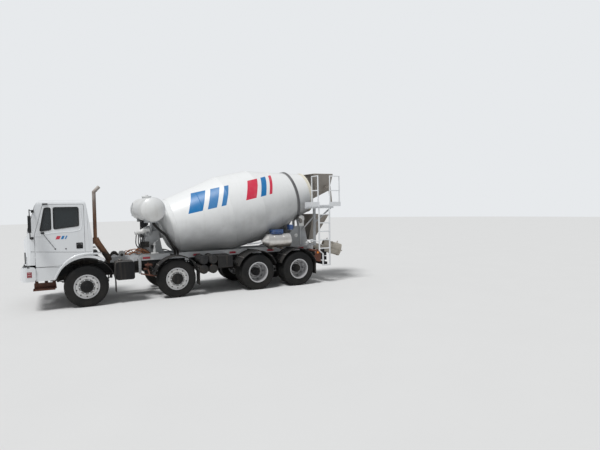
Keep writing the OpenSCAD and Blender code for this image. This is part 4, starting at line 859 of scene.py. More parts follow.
    made: dict[str, Material] = {}

    @classmethod
    def spec(cls, name: str) -> Finish:
        """Returns the description of a finish by its name."""
        return next(finish for finish in cls.SPECS if finish.name == name)

    @classmethod
    def get(cls, name: str) -> Material:
        """Returns a finish's material by its name, built on first use."""
        if name not in cls.made:
            cls.made[name] = cls.spec(name).build()
        return cls.made[name]

    @classmethod
    def wheel(cls, node: str) -> Material:
        """Returns the silver finish of one wheel, centred on its own hub."""
        low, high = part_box(node)
        centre = tuple((a + b) / 2 for a, b in zip(low, high))
        steered = node[6] in "12"
        return WheelFinish(f"silver_{node}", "rim_silver", (0.56, 0.56, 0.57), (0.40, 0.39, 0.38),
                           dust_height=1.1, dust_amount=0.05, blotch=0.1, streak=0.0,
                           spots=0.15, gloss=(0.32, 0.7), metallic=0.35, centre=centre,
                           hub_radius=0.122 if steered else 0.125).build()


@dataclass(frozen=True)
class Studio:
    """Plain pale floor, soft light and the camera of the picture."""

    floor_colour: Colour = (0.70, 0.70, 0.695)
    floor_radius: float = 70.0
    sky_colour: Colour = (0.80, 0.82, 0.84)
    fill: float = 0.42
    sun_power: float = 2.6
    sun_spread: float = 16.0
    sun_heading: Point = (0.45, 0.22, -1.0)
    eye: Point = (PLAN.axle_x - 0.5823, -13.9137, 2.516)
    yaw: float = 0.4793
    pitch: float = 0.0456
    roll: float = -0.0149
    lens: float = 27.9

    def floor(self) -> None:
        """Lays a round floor with a soft edge."""
        Bench.clear()
        bpy.ops.mesh.primitive_circle_add(vertices=96, radius=self.floor_radius, fill_type="NGON")
        piece = bpy.context.object
        piece.name = "studio_floor"
        Bench.edit()
        bpy.ops.mesh.inset(thickness=0.5)
        bpy.ops.mesh.select_all(action="SELECT")
        bpy.ops.mesh.extrude_region_move(TRANSFORM_OT_translate={"value": (0, 0, -0.1)})
        Bench.face_out()
        Bench.settle(piece)
        made = bpy.data.materials.new("studio_floor")
        made.use_nodes = True
        shade = Shade(made.node_tree)
        place = shade.node("ShaderNodeTexCoord").outputs["Object"]
        share = shade.math("MULTIPLY", shade.noise(place, 0.8), 0.08)
        shader = made.node_tree.nodes["Principled BSDF"]
        shade.feed(shader.inputs["Base Color"],
                   shade.mix(share, self.floor_colour, (0.4, 0.4, 0.4)))
        shade.feed(shader.inputs["Roughness"], shade.math("ADD", share, 0.85))
        piece.data.materials.append(made)

    def sky(self) -> None:
        """Fills the scene with pale light and shows a paler backdrop to the camera."""
        world = bpy.data.worlds.new("studio_sky")
        bpy.context.scene.world = world
        world.use_nodes = True
        shade = Shade(world.node_tree)
        shown = shade.node("ShaderNodeLightPath").outputs["Is Camera Ray"]
        backdrop = world.node_tree.nodes["Background"]
        shade.feed(backdrop.inputs["Color"], self.sky_colour)
        power = shade.math("ADD", self.fill, shade.math("MULTIPLY", shown, 1.0 - self.fill))
        shade.feed(backdrop.inputs["Strength"], power)

    def sun(self) -> None:
        """Hangs one broad lamp high behind the camera's left shoulder."""
        lamp = bpy.data.lights.new("studio_sun", "SUN")
        lamp.energy = self.sun_power
        lamp.angle = math.radians(self.sun_spread)
        holder = bpy.data.objects.new("studio_sun", lamp)
        bpy.context.scene.collection.objects.link(holder)
        holder.rotation_mode = "QUATERNION"
        holder.rotation_quaternion = Vector(self.sun_heading).to_track_quat("-Z", "Y")

    def camera(self) -> None:
        """Sets the camera where the picture was taken from."""
        ahead = Vector((math.sin(self.yaw) * math.cos(self.pitch),
                        math.cos(self.yaw) * math.cos(self.pitch), -math.sin(self.pitch)))
        flat_right = ahead.cross(Vector((0, 0, 1))).normalized()
        flat_up = flat_right.cross(ahead)
        right = math.cos(self.roll) * flat_right + math.sin(self.roll) * flat_up
        up = -math.sin(self.roll) * flat_right + math.cos(self.roll) * flat_up
        lens = bpy.data.cameras.new("picture_camera")
        lens.lens = self.lens
        lens.sensor_width = 36.0
        holder = bpy.data.objects.new("picture_camera", lens)
        bpy.context.scene.collection.objects.link(holder)
        heading = Matrix((right, up, -ahead)).transposed().to_4x4()
        holder.matrix_world = Matrix.Translation(self.eye) @ heading
        bpy.context.scene.camera = holder

    def build(self) -> None:
        """Builds the whole studio."""
        bpy.context.scene.view_settings.view_transform = "Standard"
        self.floor()
        self.sky()
        self.sun()
        self.camera()


@dataclass(frozen=True)
class Dresser:
    """Gives every CAD node its finish."""

    # Starts of nodes' names, finish and its slot if not the finish's own; the first that fits counts
    table: tuple[tuple[tuple[str, ...], str, str], ...] = (
        (("chassis_frame", "fuel_tank"), "frame_black_and_hole_shade", ""),
        (("chute_swivel",), "frame_black_and_hole_shade", "steel_grey"),
        (("rear_lamps",), "frame_black_and_hole_shade", "tail_red"),
        (("leaf_springs", "steer_axles", "drive_axles"), "spring_steel", ""),
        (("air_tanks",), "air_tank_black", ""),
        (("battery_box",), "guard_black", "chassis_black"),
        (("mudguards",), "guard_black", ""),
        (("engine_block", "knuckle"), "cast_dark", ""),
        (("front_pedestal", "rear_pedestal"), "pedestal_grey", ""),
        (("discharge_hopper", "charging_hopper"), "hopper_grey", ""),
        (("front_grille", "mirrors"), "black_plastic_and_arm_shadow", ""),
        (("side_tank",), "bare_tank", ""),
        (("exhaust_stack",), "burnt_pipe_and_foot_shade", ""),
        (("water_hoses",), "rubber_and_gap_shade", ""),
        (("cab_glass", "door_glass"), "dark_glass", ""),
        (("head_lamps",), "lamp_clear", ""),
        (("cab_interior",), "seat_cloth", ""),
        (("drum_blades", "roller"), "bolt_steel", "rim_silver"),
        (("drum_shell",), "drum_white", ""),
        (("main_chute", "fold_chute"), "chute_cream", ""),
        (("tyre",), "tyre_rubber", ""),
        (("cab_shell", "door", "front_bumper", "mixer_subframe", "ladder", "platform"),
         "cab_white", ""),
        (("",), "truck_white", ""))

    def dress(self) -> None:
        """Dresses all nodes of the frame."""
        for name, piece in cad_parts.items():
            finish, slot = next(row[1:] for row in self.table if name.startswith(row[0]))
            wheel = name.startswith("wheel")
            made = Paints.wheel(name) if wheel else Paints.get(finish)
            if not piece.data.materials:
                piece.data.materials.append(made)
            for place in range(len(piece.data.materials)):
                piece.data.materials[place] = made
            "rim_silver" if wheel else slot or Paints.spec(finish).slot
        log.info("dressed %d nodes", len(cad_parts))


@dataclass(frozen=True)
class Tyres:
    """Tyres with ribbed walls, a grooved tread and worn shoulder lugs."""

    sides: int = 72
    # Radius and distance from the middle of the tread, from bead to crown
    wall: Profile = (
        (0.2870, -0.112), (0.2930, -0.1290), (0.3060, -0.1335), (0.3200, -0.1345),
        (0.3245, -0.1370), (0.3290, -0.1370), (0.3335, -0.1350), (0.3600, -0.1365),
        (0.4100, -0.1380), (0.4420, -0.1368), (0.4450, -0.1385), (0.4520, -0.1385),
        (0.4550, -0.1350), (0.4760, -0.1300), (0.4800, -0.1305), (0.4830, -0.1270),
        (0.4990, -0.1220), (0.5120, -0.1130), (0.5175, -0.1030))
    crown: Profile = (
        (0.5190, -0.0780), (0.5070, -0.0760), (0.5070, -0.0680), (0.5195, -0.0660),
        (0.5200, -0.0270), (0.5080, -0.0250), (0.5080, -0.0160), (0.5200, -0.0140))
    liner: Profile = ((0.3000, 0.0980), (0.4800, 0.1000), (0.4900, 0.0800))

    def profile(self) -> Profile:
        """Returns the closed section of the tyre."""
        half = [*self.wall, *self.crown]
        outside = half + [(radius, -along) for radius, along in reversed(half)]
        inside = list(self.liner) + [(radius, -along) for radius, along in reversed(self.liner)]
        return outside + inside + [outside[0]]

    def model(self, name: str, centre: Point) -> Piece:
        """Makes one tyre.

        Args:
            name: name of the tyre.
            centre: middle of the tyre.

        Returns:
            The tyre.
        """
        piece = Bench.turned(name, (0, 0, 0), (0, 1, 0), self.profile(), self.sides, closed=False)
        self.cut_lugs(piece)
        Bench.settle(piece, 28.0)
        piece.data.transform(Matrix.Translation(centre))
        return piece

    def cut_lugs(self, piece: Piece) -> None:
        """Cuts a slot into every third face of both shoulders."""
        Bench.clear()
        piece.select_set(True)
        bpy.context.view_layer.objects.active = piece
        bpy.ops.object.mode_set(mode="EDIT")
        bpy.ops.mesh.select_all(action="DESELECT")
        bpy.ops.mesh.select_mode(type="FACE")
        bpy.ops.object.mode_set(mode="OBJECT")
        low, high = self.wall[-1][1], self.crown[0][1]
        for face in piece.data.polygons:
            turn = math.degrees(math.atan2(face.center.z, face.center.x)) % 360
            step = int(turn / (360 / self.sides))
            on_shoulder = low - 0.012 < -abs(face.center.y) < high and face.center.xz.length > 0.505
            face.select = on_shoulder and step % 3 == 0
        bpy.ops.object.mode_set(mode="EDIT")
        bpy.ops.mesh.inset(thickness=0.003, depth=-0.011, use_individual=False)
        bpy.ops.object.mode_set(mode="OBJECT")

    def build(self) -> None:
        """Replaces every tyre node by a detailed tyre."""
        model = self.model("tyre_model", (0, 0, 0))
        for name in sorted(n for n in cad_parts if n.startswith("tyre")):
            low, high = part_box(name)
            middle = (low + high) / 2
            steered = name[5] in "12"
            offsets = (0.0,) if steered else (-PLAN.twin_half, PLAN.twin_half)
            places = [Matrix.Translation((middle.x, middle.y + offset, middle.z))
                      for offset in offsets]
            twin = model.copy()
            twin.data = model.data.copy()
            piece = Bench.copies(f"detailed_{name}", twin, places)
            place_on(piece, name.replace("tyre", "wheel"), "tyre_rubber")
            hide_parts(name)
        bpy.data.objects.remove(model)


def rounded(points: Sequence[Point], reach: float, steps: int = 4) -> list[Point]:
    """Rounds the corners of a closed line.

    Args:
        points: corners of the line.
        reach: how far from each corner the bend starts.
        steps: pieces of each bend.

    Returns:
        The closed line, with its first point again at the end.
    """
    line: list[Point] = []
    for index, corner in enumerate(points):
        before, here = Vector(points[index - 1]), Vector(corner)
        after = Vector(points[(index + 1) % len(points)])
        first = here + (before - here).normalized() * reach
        last = here + (after - here).normalized() * reach
        for step in range(steps + 1):
            share = step / steps
            bent = first.lerp(here, share).lerp(here.lerp(last, share), share)
            line.append(tuple(bent))
    return [*line, line[0]]


def bolts(name: str, places: Iterable[tuple[Point, Point]], radius: float = 0.011,
          tall: float = 0.012) -> Piece:
    """Makes hexagon bolts on washers, all in one piece.

    Args:
        name: name of the piece.
        places: the point and outward direction of each bolt.
        radius: radius across the corners of the head.
        tall: height of the head.

    Returns:
        The bolts.
    """
    washer = Bench.turned(f"{name}_washer", (0, 0, 0), (0, 0, 1), (
        (radius * 1.25, -0.003), (radius * 1.25, 0.0015), (radius * 1.15, 0.0025)), 16)
    head = Bench.turned(f"{name}_head", (0, 0, 0), (0, 0, 1), (
        (radius, 0.0), (radius, tall * 0.85), (radius * 0.82, tall)), 6)
    model = Bench.joined(f"{name}_model", [washer, head])
    spots = (Matrix.Translation(point) @ Vector(out).to_track_quat("Z", "Y").to_matrix().to_4x4()
             for point, out in places)
    return Bench.copies(name, model, spots)


@dataclass(frozen=True)
class CabTrim:
    """What the cab wears: window rubbers, wipers, handles, mirror mounts and marks."""

    wide: float = 1.18
    lean_from: float = 1.87
    lean: float = 0.073
    front_low: tuple[float, float] = (-1.262, 1.85)
    front_high: tuple[float, float] = (-1.04, 2.69)
    rubber: float = 0.009
    door_light: Profile = ((-0.69, 1.985), (-0.69, 2.515), (-0.135, 2.515), (-0.135, 2.05))
    quarter_light: Profile = ((-0.99, 1.945), (-0.88, 2.51), (-0.745, 2.51), (-0.745, 1.975))
    screen: Profile = ((-1.01, 1.935), (-0.99, 2.56), (0.99, 2.56), (1.01, 1.935))
    dots: Profile = ((-0.67, 1.505), (-0.44, 1.50))
    wipers: tuple[float, ...] = (-0.72, -0.08, 0.56)
    # Place, width and finish of the slanted bars painted on a door
    bars: tuple[tuple[float, float, str], ...] = (
        (-0.66, 0.085, "mark_red"), (-0.545, 0.055, "mark_blue"), (-0.46, 0.03, "mark_blue"))

    def skin(self, s: float, z: float, out: float = 0.0) -> Point:
        """Returns the place of a point on the driver's side wall, pushed outward."""
        lean = max(0.0, z - self.lean_from) * self.lean
        return (PLAN.at(s), -(self.wide - lean) - out, z)

    def front(self, y: float, z: float, out: float = 0.0) -> Point:
        """Returns the place of a point on the leaning front wall, pushed forward."""
        (s0, z0), (s1, z1) = self.front_low, self.front_high
        return (PLAN.at(s0 + (z - z0) * (s1 - s0) / (z1 - z0)) - out, y, z)

    def windows(self) -> None:
        """Frames the side windows and the windscreen with black rubber."""
        for name, outline in (("door_rubber", self.door_light),
                              ("quarter_rubber", self.quarter_light)):
            line = rounded([self.skin(s, z) for s, z in outline], 0.045)
            place_pair(name, [Bench.tube(name, line, self.rubber, smooth=False)], Body.DOOR_LEFT,
                       "rubber_and_gap_shade")
        line = rounded([self.front(y, z, 0.002) for y, z in self.screen], 0.09)
        piece = Bench.tube("screen_rubber", line, 0.013, smooth=False)
        place_on(piece, Body.CAB, "rubber_and_gap_shade")

    def wiper_set(self) -> None:
        """Lays three wipers on the windscreen."""
        parts = []
        for y in self.wipers:
            foot, head = self.front(y, 1.90, 0.012), self.front(y + 0.20, 2.22, 0.03)
            parts.append(Bench.tube("wiper_arm", [foot, self.front(y + 0.04, 1.99, 0.035), head],
                                    0.006))
            low, high = self.front(y + 0.05, 2.02, 0.018), self.front(y + 0.33, 2.44, 0.018)
            parts.append(Bench.tube("wiper_blade", [low, high], 0.007, smooth=False))
            parts.append(Bench.turned("wiper_spindle", foot, (-1, 0, 0.27), (
                (0.016, -0.014), (0.016, 0.010), (0.010, 0.016)), 14))
        place_all("wipers", parts, Body.CAB, "black_plastic_and_arm_shadow")

    def handle(self) -> list[Piece]:
        """Makes the parts of the door handle in its recess."""
        frame_line = rounded([self.skin(s, z, 0.0) for s, z in (
            (-0.202, 1.493), (-0.202, 1.632), (-0.063, 1.632), (-0.063, 1.493))], 0.02)
        rim = Bench.tube("handle_rim", frame_line, 0.006, smooth=False)
        well = Bench.plate("handle_well", [self.skin(s, z, -0.0235) for s, z in (
            (-0.204, 1.491), (-0.204, 1.634), (-0.061, 1.634), (-0.061, 1.491))],
            (0, 0.004, 0), 0.0)
        grip = Bench.tube("handle_grip", [self.skin(s, z, out) for s, z, out in (
            (-0.185, 1.600, -0.026), (-0.178, 1.598, -0.006), (-0.135, 1.592, 0.002),
            (-0.092, 1.588, -0.004), (-0.082, 1.586, -0.026))], 0.011, 4)
        lock = Bench.turned("handle_lock", self.skin(-0.133, 1.528, -0.028), (0, -1, 0), (
            (0.016, 0.0), (0.016, 0.012), (0.012, 0.016)), 18)
        return [rim, well, grip, lock]

    def doors(self) -> None:
        """Fits handles and lock buttons to both doors."""
        place_pair("door_handle", self.handle(), Body.DOOR_LEFT, "black_plastic_and_arm_shadow")
        buttons = [Bench.turned("door_button", self.skin(s, z, -0.002), (0, -1, 0), (
            (0.017, 0.0), (0.017, 0.005), (0.010, 0.009)), 16) for s, z in self.dots]
        place_pair("door_buttons", buttons, Body.DOOR_LEFT, "black_plastic_and_arm_shadow")

    def marks(self) -> None:
        """Paints a plain mark of slanted bars on both doors."""
        low, high, lean = 1.74, 1.82, 0.035
        bars = []
        for index, (s, wide, _) in enumerate(self.bars):
            corners = [self.skin(a, z, -0.001) for a, z in (
                (s, low), (s + lean, high), (s + lean + wide, high), (s + wide, low))]
            bars.append(Bench.plate(f"door_mark_{index}_driver", corners, (0, -0.0022, 0), 0.0))
        twins = [Bench.mirrored(bar, f"door_mark_{index}_far.001") for index, bar in enumerate(bars)]
        for made, body in ((bars, Body.DOOR_LEFT), (twins, Body.DOOR_RIGHT)):
            for bar, (_, _, colour) in zip(made, self.bars):
                place_on(bar, body, colour)

    def feet(self, name: str, places: Sequence[tuple[float, float, float, float]],
             arm_shadow: Sequence[Point] = ()) -> list[Piece]:
        """Makes rounded black feet on the side wall.

        Args:
            name: name of the piece.
            places: distance behind the axle, height, length and height of each foot.
            arm_shadow: points of a thin black rod of painted shadow, where the mirror arm's shadow
                falls, between the feet, if there is one.

        Returns:
            The feet, on the driver's side.
        """
        parts = []
        for s, z, wide, tall in places:
            ends = (self.skin(s - wide / 2, z - tall / 2, 0.020),
                    self.skin(s + wide / 2, z + tall / 2, -0.03))
            low = tuple(min(pair) for pair in zip(*ends))
            high = tuple(max(pair) for pair in zip(*ends))
            parts.append(Bench.block(name, low, high, 0.012))
        if arm_shadow:
            parts.append(Bench.tube(name, arm_shadow, 0.0045, smooth=False))
        return parts

    def mirror_mounts(self) -> None:
        """Fits the feet of the mirror arms, and on each door black feet and a thin black rod of
        painted shadow cast by the mirror arm.
        """
        # Painted shadow: a thin black rod where the mirror arm's shadow falls on the door
        arm_shadow = (self.skin(-0.93, 1.90, 0.016), self.skin(-0.675, 1.515, 0.008))
        on_door = self.feet("door_feet", ((-0.86, 2.60, 0.12, 0.035), (-0.93, 1.905, 0.075, 0.045)),
                            arm_shadow)
        on_cab = self.feet("mirror_feet", ((-1.125, 2.43, 0.06, 0.07), (-1.15, 1.79, 0.07, 0.06)))
        place_pair("door_feet", on_door, Body.DOOR_LEFT, "black_plastic_and_arm_shadow")
        place_pair("mirror_feet", on_cab, Body.CAB, "black_plastic_and_arm_shadow")

    def build(self) -> None:
        """Builds all the trim."""
        self.windows()
        self.wiper_set()
        self.doors()
        self.marks()
        self.mirror_mounts()


@dataclass(frozen=True)
class NoseTrim:
    """Grille slats, lamp bowls, bumper slots, fog lamps and the marks on the bumper."""

    grille_s: float = -1.298
    slat_count: int = 5
    slat_low: float = 1.195
    slat_high: float = 1.430
    slat_half: float = 0.60
    bumper_front: float = -1.43
    bumper_top: float = 1.095

    def slats(self) -> None:
        """Fits the grille's slats."""
        step = (self.slat_high - self.slat_low) / (self.slat_count - 1)
        s, half, thick = self.grille_s, self.slat_half, 0.007
        heights = [self.slat_low + step * k for k in range(self.slat_count)]
        parts = [box("grille_slat", (s - 0.016, -half, z - thick), (s + 0.006, half, z + thick),
                     0.005) for z in heights]
        place_all("grille_slats", parts, Body.CAB, "black_plastic_and_arm_shadow")

    def bumper(self) -> None:
        """Adds the step slots, tow pin covers, blank plate and fog lamps."""
        s, top = self.bumper_front, self.bumper_top
        slots = [box("bumper_slot", (s + 0.05, y - 0.13, top - 0.004),
                     (s + 0.13, y + 0.13, top + 0.003), 0.003)
                 for y in (-0.95, -0.60, 0.60, 0.95)]
        slots += [box("bumper_slot", (s - 0.003, y - 0.09, 0.80), (s + 0.004, y + 0.09, 0.87),
                      0.003) for y in (-0.42, 0.42)]
        place_all("bumper_slots", slots, Body.CHASSIS, "black_plastic_and_arm_shadow")
        plate = box("front_plate_blank", (s - 0.006, -0.20, 0.885), (s + 0.002, 0.20, 1.015), 0.002)
        place_on(plate, Body.CHASSIS, "plate_blank")
        lamps = [turned("fog_lamp", (s - 0.001, y, 0.93), (-1, 0, 0), (
            (0.068, -0.004), (0.068, 0.003), (0.058, 0.006), (0.030, 0.009)), 28)
            for y in (-0.78, 0.78)]
        place_all("fog_lamps", lamps, Body.CHASSIS, "lamp_clear")

    def marker(self) -> None:
        """Puts a red and white square mark on each end of the bumper."""
        s = self.bumper_front
        for name, colour, low, high in (
                ("bumper_mark_border", "mark_deep", (0.145, 0.85), (0.245, 0.985)),
                ("bumper_mark_light", "plate_blank", (0.160, 0.866), (0.230, 0.969)),
                ("bumper_mark_bar", "mark_deep", (0.160, 0.921), (0.230, 0.962)),
                ("bumper_mark_foot", "mark_deep", (0.160, 0.873), (0.230, 0.911))):
            deep = 0.0012 + 0.0006 * (name != "bumper_mark_border") + 0.0005 * (colour == "mark_deep")
            piece = box(name, (s + low[0], -1.2 - deep, low[1]), (s + high[0], -1.198, high[1]),
                        0.0004)
            place_pair(name, [piece], Body.CHASSIS, colour)

    def lenses(self) -> None:
        """Adds round reflectors behind the head lamp covers."""
        bowls = [turned("lamp_bowl", (self.grille_s + 0.012, y, 1.312), (-1, 0, 0), (
            (0.020, -0.030), (0.050, -0.012), (0.072, 0.004), (0.078, 0.010)), 30)
            for y in (-0.72, -0.865, 0.72, 0.865)]
        place_all("lamp_bowls", bowls, Body.CAB, "mirror_face")

    def build(self) -> None:
        """Builds the nose."""
        self.slats()
        self.bumper()
        self.marker()
        self.lenses()


@dataclass(frozen=True)
class GuardTrim:
    """Raised ribs, straps and bolts of the mudguards."""

    # Distance behind the first axle, radius, inner and outer edge, first and last angle
    arcs: tuple[tuple[float, float, float, float, float, float], ...] = (
        (2.25, 0.634, 0.86, 1.21, 14, 166), (4.60, 0.634, 0.65, 1.24, 20, 160),
        (5.95, 0.634, 0.65, 1.24, 20, 160))
    rib_places: tuple[float, ...] = (0.10, 0.36, 0.64, 0.90)
    turns: int = 28

    def arc(self, s: float, radius: float, y: float, first: float, last: float) -> list[Point]:
        """Returns points along an arc over an axle, on the driver's side."""
        turns = [math.radians(first + (last - first) * step / self.turns)
                 for step in range(self.turns + 1)]
        return [(s - radius * math.cos(turn), -y, PLAN.axle_z + radius * math.sin(turn))
                for turn in turns]

    def ribs(self) -> None:
        """Runs ribs over every mudguard and a rolled edge along its rim."""
        for index, (s, radius, near, far, first, last) in enumerate(self.arcs):
            parts = []
            lines = [(radius, near + (far - near) * share, 0.0085) for share in self.rib_places]
            for reach, y, thick in (*lines, (radius - 0.006, far - 0.004, 0.012)):
                parts.append(rod("guard_rib", self.arc(s, reach, y, first, last), thick, 2,
                                 smooth=False))
            name = f"guard_ribs_{index}"
            place_pair(name, parts, Body.CHASSIS, "guard_black")

    def bands(self) -> None:
        """Runs two pale worn bands over every mudguard and bolts them down."""
        for index, (s, radius, near, far, first, last) in enumerate(self.arcs):
            parts, places = [], []
            for turn in (first + 26, last - 26):
                angle = math.radians(turn)
                x = PLAN.at(s) - (radius + 0.004) * math.cos(angle)
                z = PLAN.axle_z + (radius + 0.004) * math.sin(angle)
                out = (-math.cos(angle), 0.0, math.sin(angle))
                places += [((x, -y, z), out) for y in (near + 0.03, far - 0.03)]
                line = [(x, -y, z) for y in (near, (near + far) / 2, far)]
                parts.append(Bench.tube("guard_strap", line, 0.010, 2, smooth=False))
            parts.append(bolts("guard_bolts", places, 0.010))
            name = f"guard_straps_{index}"
            place_pair(name, parts, Body.CHASSIS, "bolt_steel")

    def build(self) -> None:
        """Builds the mudguards' details."""
        self.ribs()
        self.bands()


@dataclass(frozen=True)
class Plumbing:
    """Hoses, valves and brackets around the front pedestal and along the subframe."""

    rail_y: float = 0.415
    deck: float = 1.16
    copper_lines: tuple[tuple[Point, ...], ...] = (
        ((0.98, -0.36, 1.185), (1.10, -0.33, 1.27), (1.28, -0.40, 1.33), (1.46, -0.34, 1.25),
         (1.60, -0.38, 1.20)),
        ((1.00, -0.42, 1.19), (1.14, -0.44, 1.32), (1.26, -0.36, 1.22), (1.44, -0.43, 1.30),
         (1.62, -0.40, 1.19)),
        ((1.06, -0.30, 1.18), (1.02, -0.38, 1.29), (1.20, -0.43, 1.24), (1.38, -0.37, 1.34),
         (1.56, -0.44, 1.26), (1.66, -0.36, 1.18)),
        ((1.12, -0.38, 1.18), (1.30, -0.31, 1.23), (1.36, -0.44, 1.20), (1.54, -0.33, 1.31),
         (1.68, -0.34, 1.19)),
        ((0.96, -0.30, 1.18), (1.16, -0.36, 1.21), (1.40, -0.30, 1.29), (1.50, -0.41, 1.20),
         (1.64, -0.31, 1.18)))
    loop_lines: tuple[tuple[Point, ...], ...] = (
        ((1.33, -0.46, 1.80), (1.30, -0.47, 1.62), (1.31, -0.46, 1.44), (1.39, -0.44, 1.36),
         (1.47, -0.42, 1.50), (1.46, -0.40, 1.74)),
        ((1.38, -0.46, 1.80), (1.36, -0.50, 1.60), (1.37, -0.50, 1.45), (1.44, -0.46, 1.38),
         (1.52, -0.42, 1.52), (1.50, -0.38, 1.72)),
        ((1.42, -0.44, 1.80), (1.42, -0.44, 1.58), (1.45, -0.42, 1.40), (1.56, -0.38, 1.22)))
    strips: Profile = ((1.44, 1.70), (2.86, 3.12), (3.97, 4.23), (5.22, 5.50), (6.30, 6.58))

    def hoses(self) -> None:
        """Lays the copper coloured hoses and hangs the dark loops."""
        parts = [rod("copper_hose", line, 0.0125) for line in self.copper_lines]
        place_all("copper_hoses", parts, Body.CHASSIS, "copper_hose")
        parts = [rod("loop_hose", line, 0.013) for line in self.loop_lines]
        place_all("loop_hoses", parts, Body.CHASSIS, "rubber_and_gap_shade")

    def nozzle(self) -> None:
        """Makes the white delivery horn with its flange and bracket."""
        horn = turned("horn", (1.66, -0.44, 1.855), (-1, -0.12, -0.22), (
            (0.030, 0.0), (0.072, 0.0), (0.072, 0.018), (0.046, 0.026), (0.046, 0.10),
            (0.060, 0.12), (0.060, 0.20), (0.050, 0.22), (0.050, 0.33), (0.066, 0.36),
            (0.066, 0.385), (0.052, 0.395)), 28)
        arm = rod("horn_arm", ((1.60, -0.29, 1.70), (1.58, -0.36, 1.78), (1.56, -0.43, 1.82)), 0.020)
        cap = turned("horn_valve", (1.50, -0.45, 1.85), (0.1, 0, 1), (
            (0.030, 0.0), (0.030, 0.06), (0.042, 0.065), (0.042, 0.085), (0.020, 0.10)), 20)
        place_all("delivery_horn", [horn, arm, cap], Body.CHASSIS, "truck_white")

    def valve(self) -> None:
        """Makes the small white valve on its foot, and the dark valve block."""
        foot = box("valve_foot", (1.70, -0.47, self.deck - 0.004), (1.90, -0.34, self.deck + 0.05),
                   0.012)
        stem = turned("valve_stem", (1.80, -0.41, self.deck + 0.04), (0, 0, 1), (
            (0.045, 0.0), (0.038, 0.10), (0.024, 0.13), (0.024, 0.20), (0.040, 0.215),
            (0.040, 0.25), (0.016, 0.265), (0.016, 0.31)), 24)
        lever = rod("valve_lever", ((1.80, -0.41, 1.45), (1.83, -0.43, 1.50), (1.88, -0.45, 1.55)),
                    0.011)
        place_all("water_valve", [foot, stem, lever], Body.CHASSIS, "truck_white")
        block = box("block_body", (1.42, -0.42, self.deck + 0.20), (1.66, -0.305, self.deck + 0.36),
                    0.01)
        spools = [turned("spool", (1.46 + 0.055 * k, -0.42, self.deck + 0.28), (0, -1, 0), (
            (0.020, -0.004), (0.020, 0.03), (0.012, 0.036), (0.012, 0.06)), 16) for k in range(4)]
        place_all("valve_block", [block, *spools], Body.CHASSIS, "cast_dark")

    def plates(self) -> None:
        """Bolts the black plate under the water tank."""
        sheet = Bench.plate("tank_plate", behind((
            (1.40, -0.58, 2.13), (1.62, -0.58, 2.12), (1.62, -0.58, 1.99), (1.40, -0.58, 1.87))),
            (0, 0.012, 0), 0.002)
        place_on(sheet, Body.CHASSIS, "frame_black_and_hole_shade")
        fixings = [((PLAN.at(s), -0.581, z), (0, -1, 0)) for s, z in (
            (1.43, 2.10), (1.59, 2.10), (1.43, 1.93), (1.59, 2.02))]
        place_on(bolts("tank_plate_bolts", fixings, 0.009), Body.CHASSIS, "bolt_steel")

    def tape(self) -> None:
        """Sticks red reflective strips with white ends along both subframe rails."""
        for side in Side:
            for finish, inset in (("plate_blank", 0.0), ("mark_red", 0.032)):
                parts = []
                for start, end in self.strips:
                    y, out = self.rail_y * side.value, 0.0016 + inset / 20
                    parts.append(box("tape", (start + inset, y - out, 1.036),
                                     (end - inset, y + out, 1.098), 0.0006))
                place_all(f"tape_{finish}_{side.name.lower()}", parts, Body.CHASSIS, finish)

    def build(self) -> None:
        """Builds the plumbing."""
        self.hoses()
        self.nozzle()
        self.valve()
        self.plates()
        self.tape()


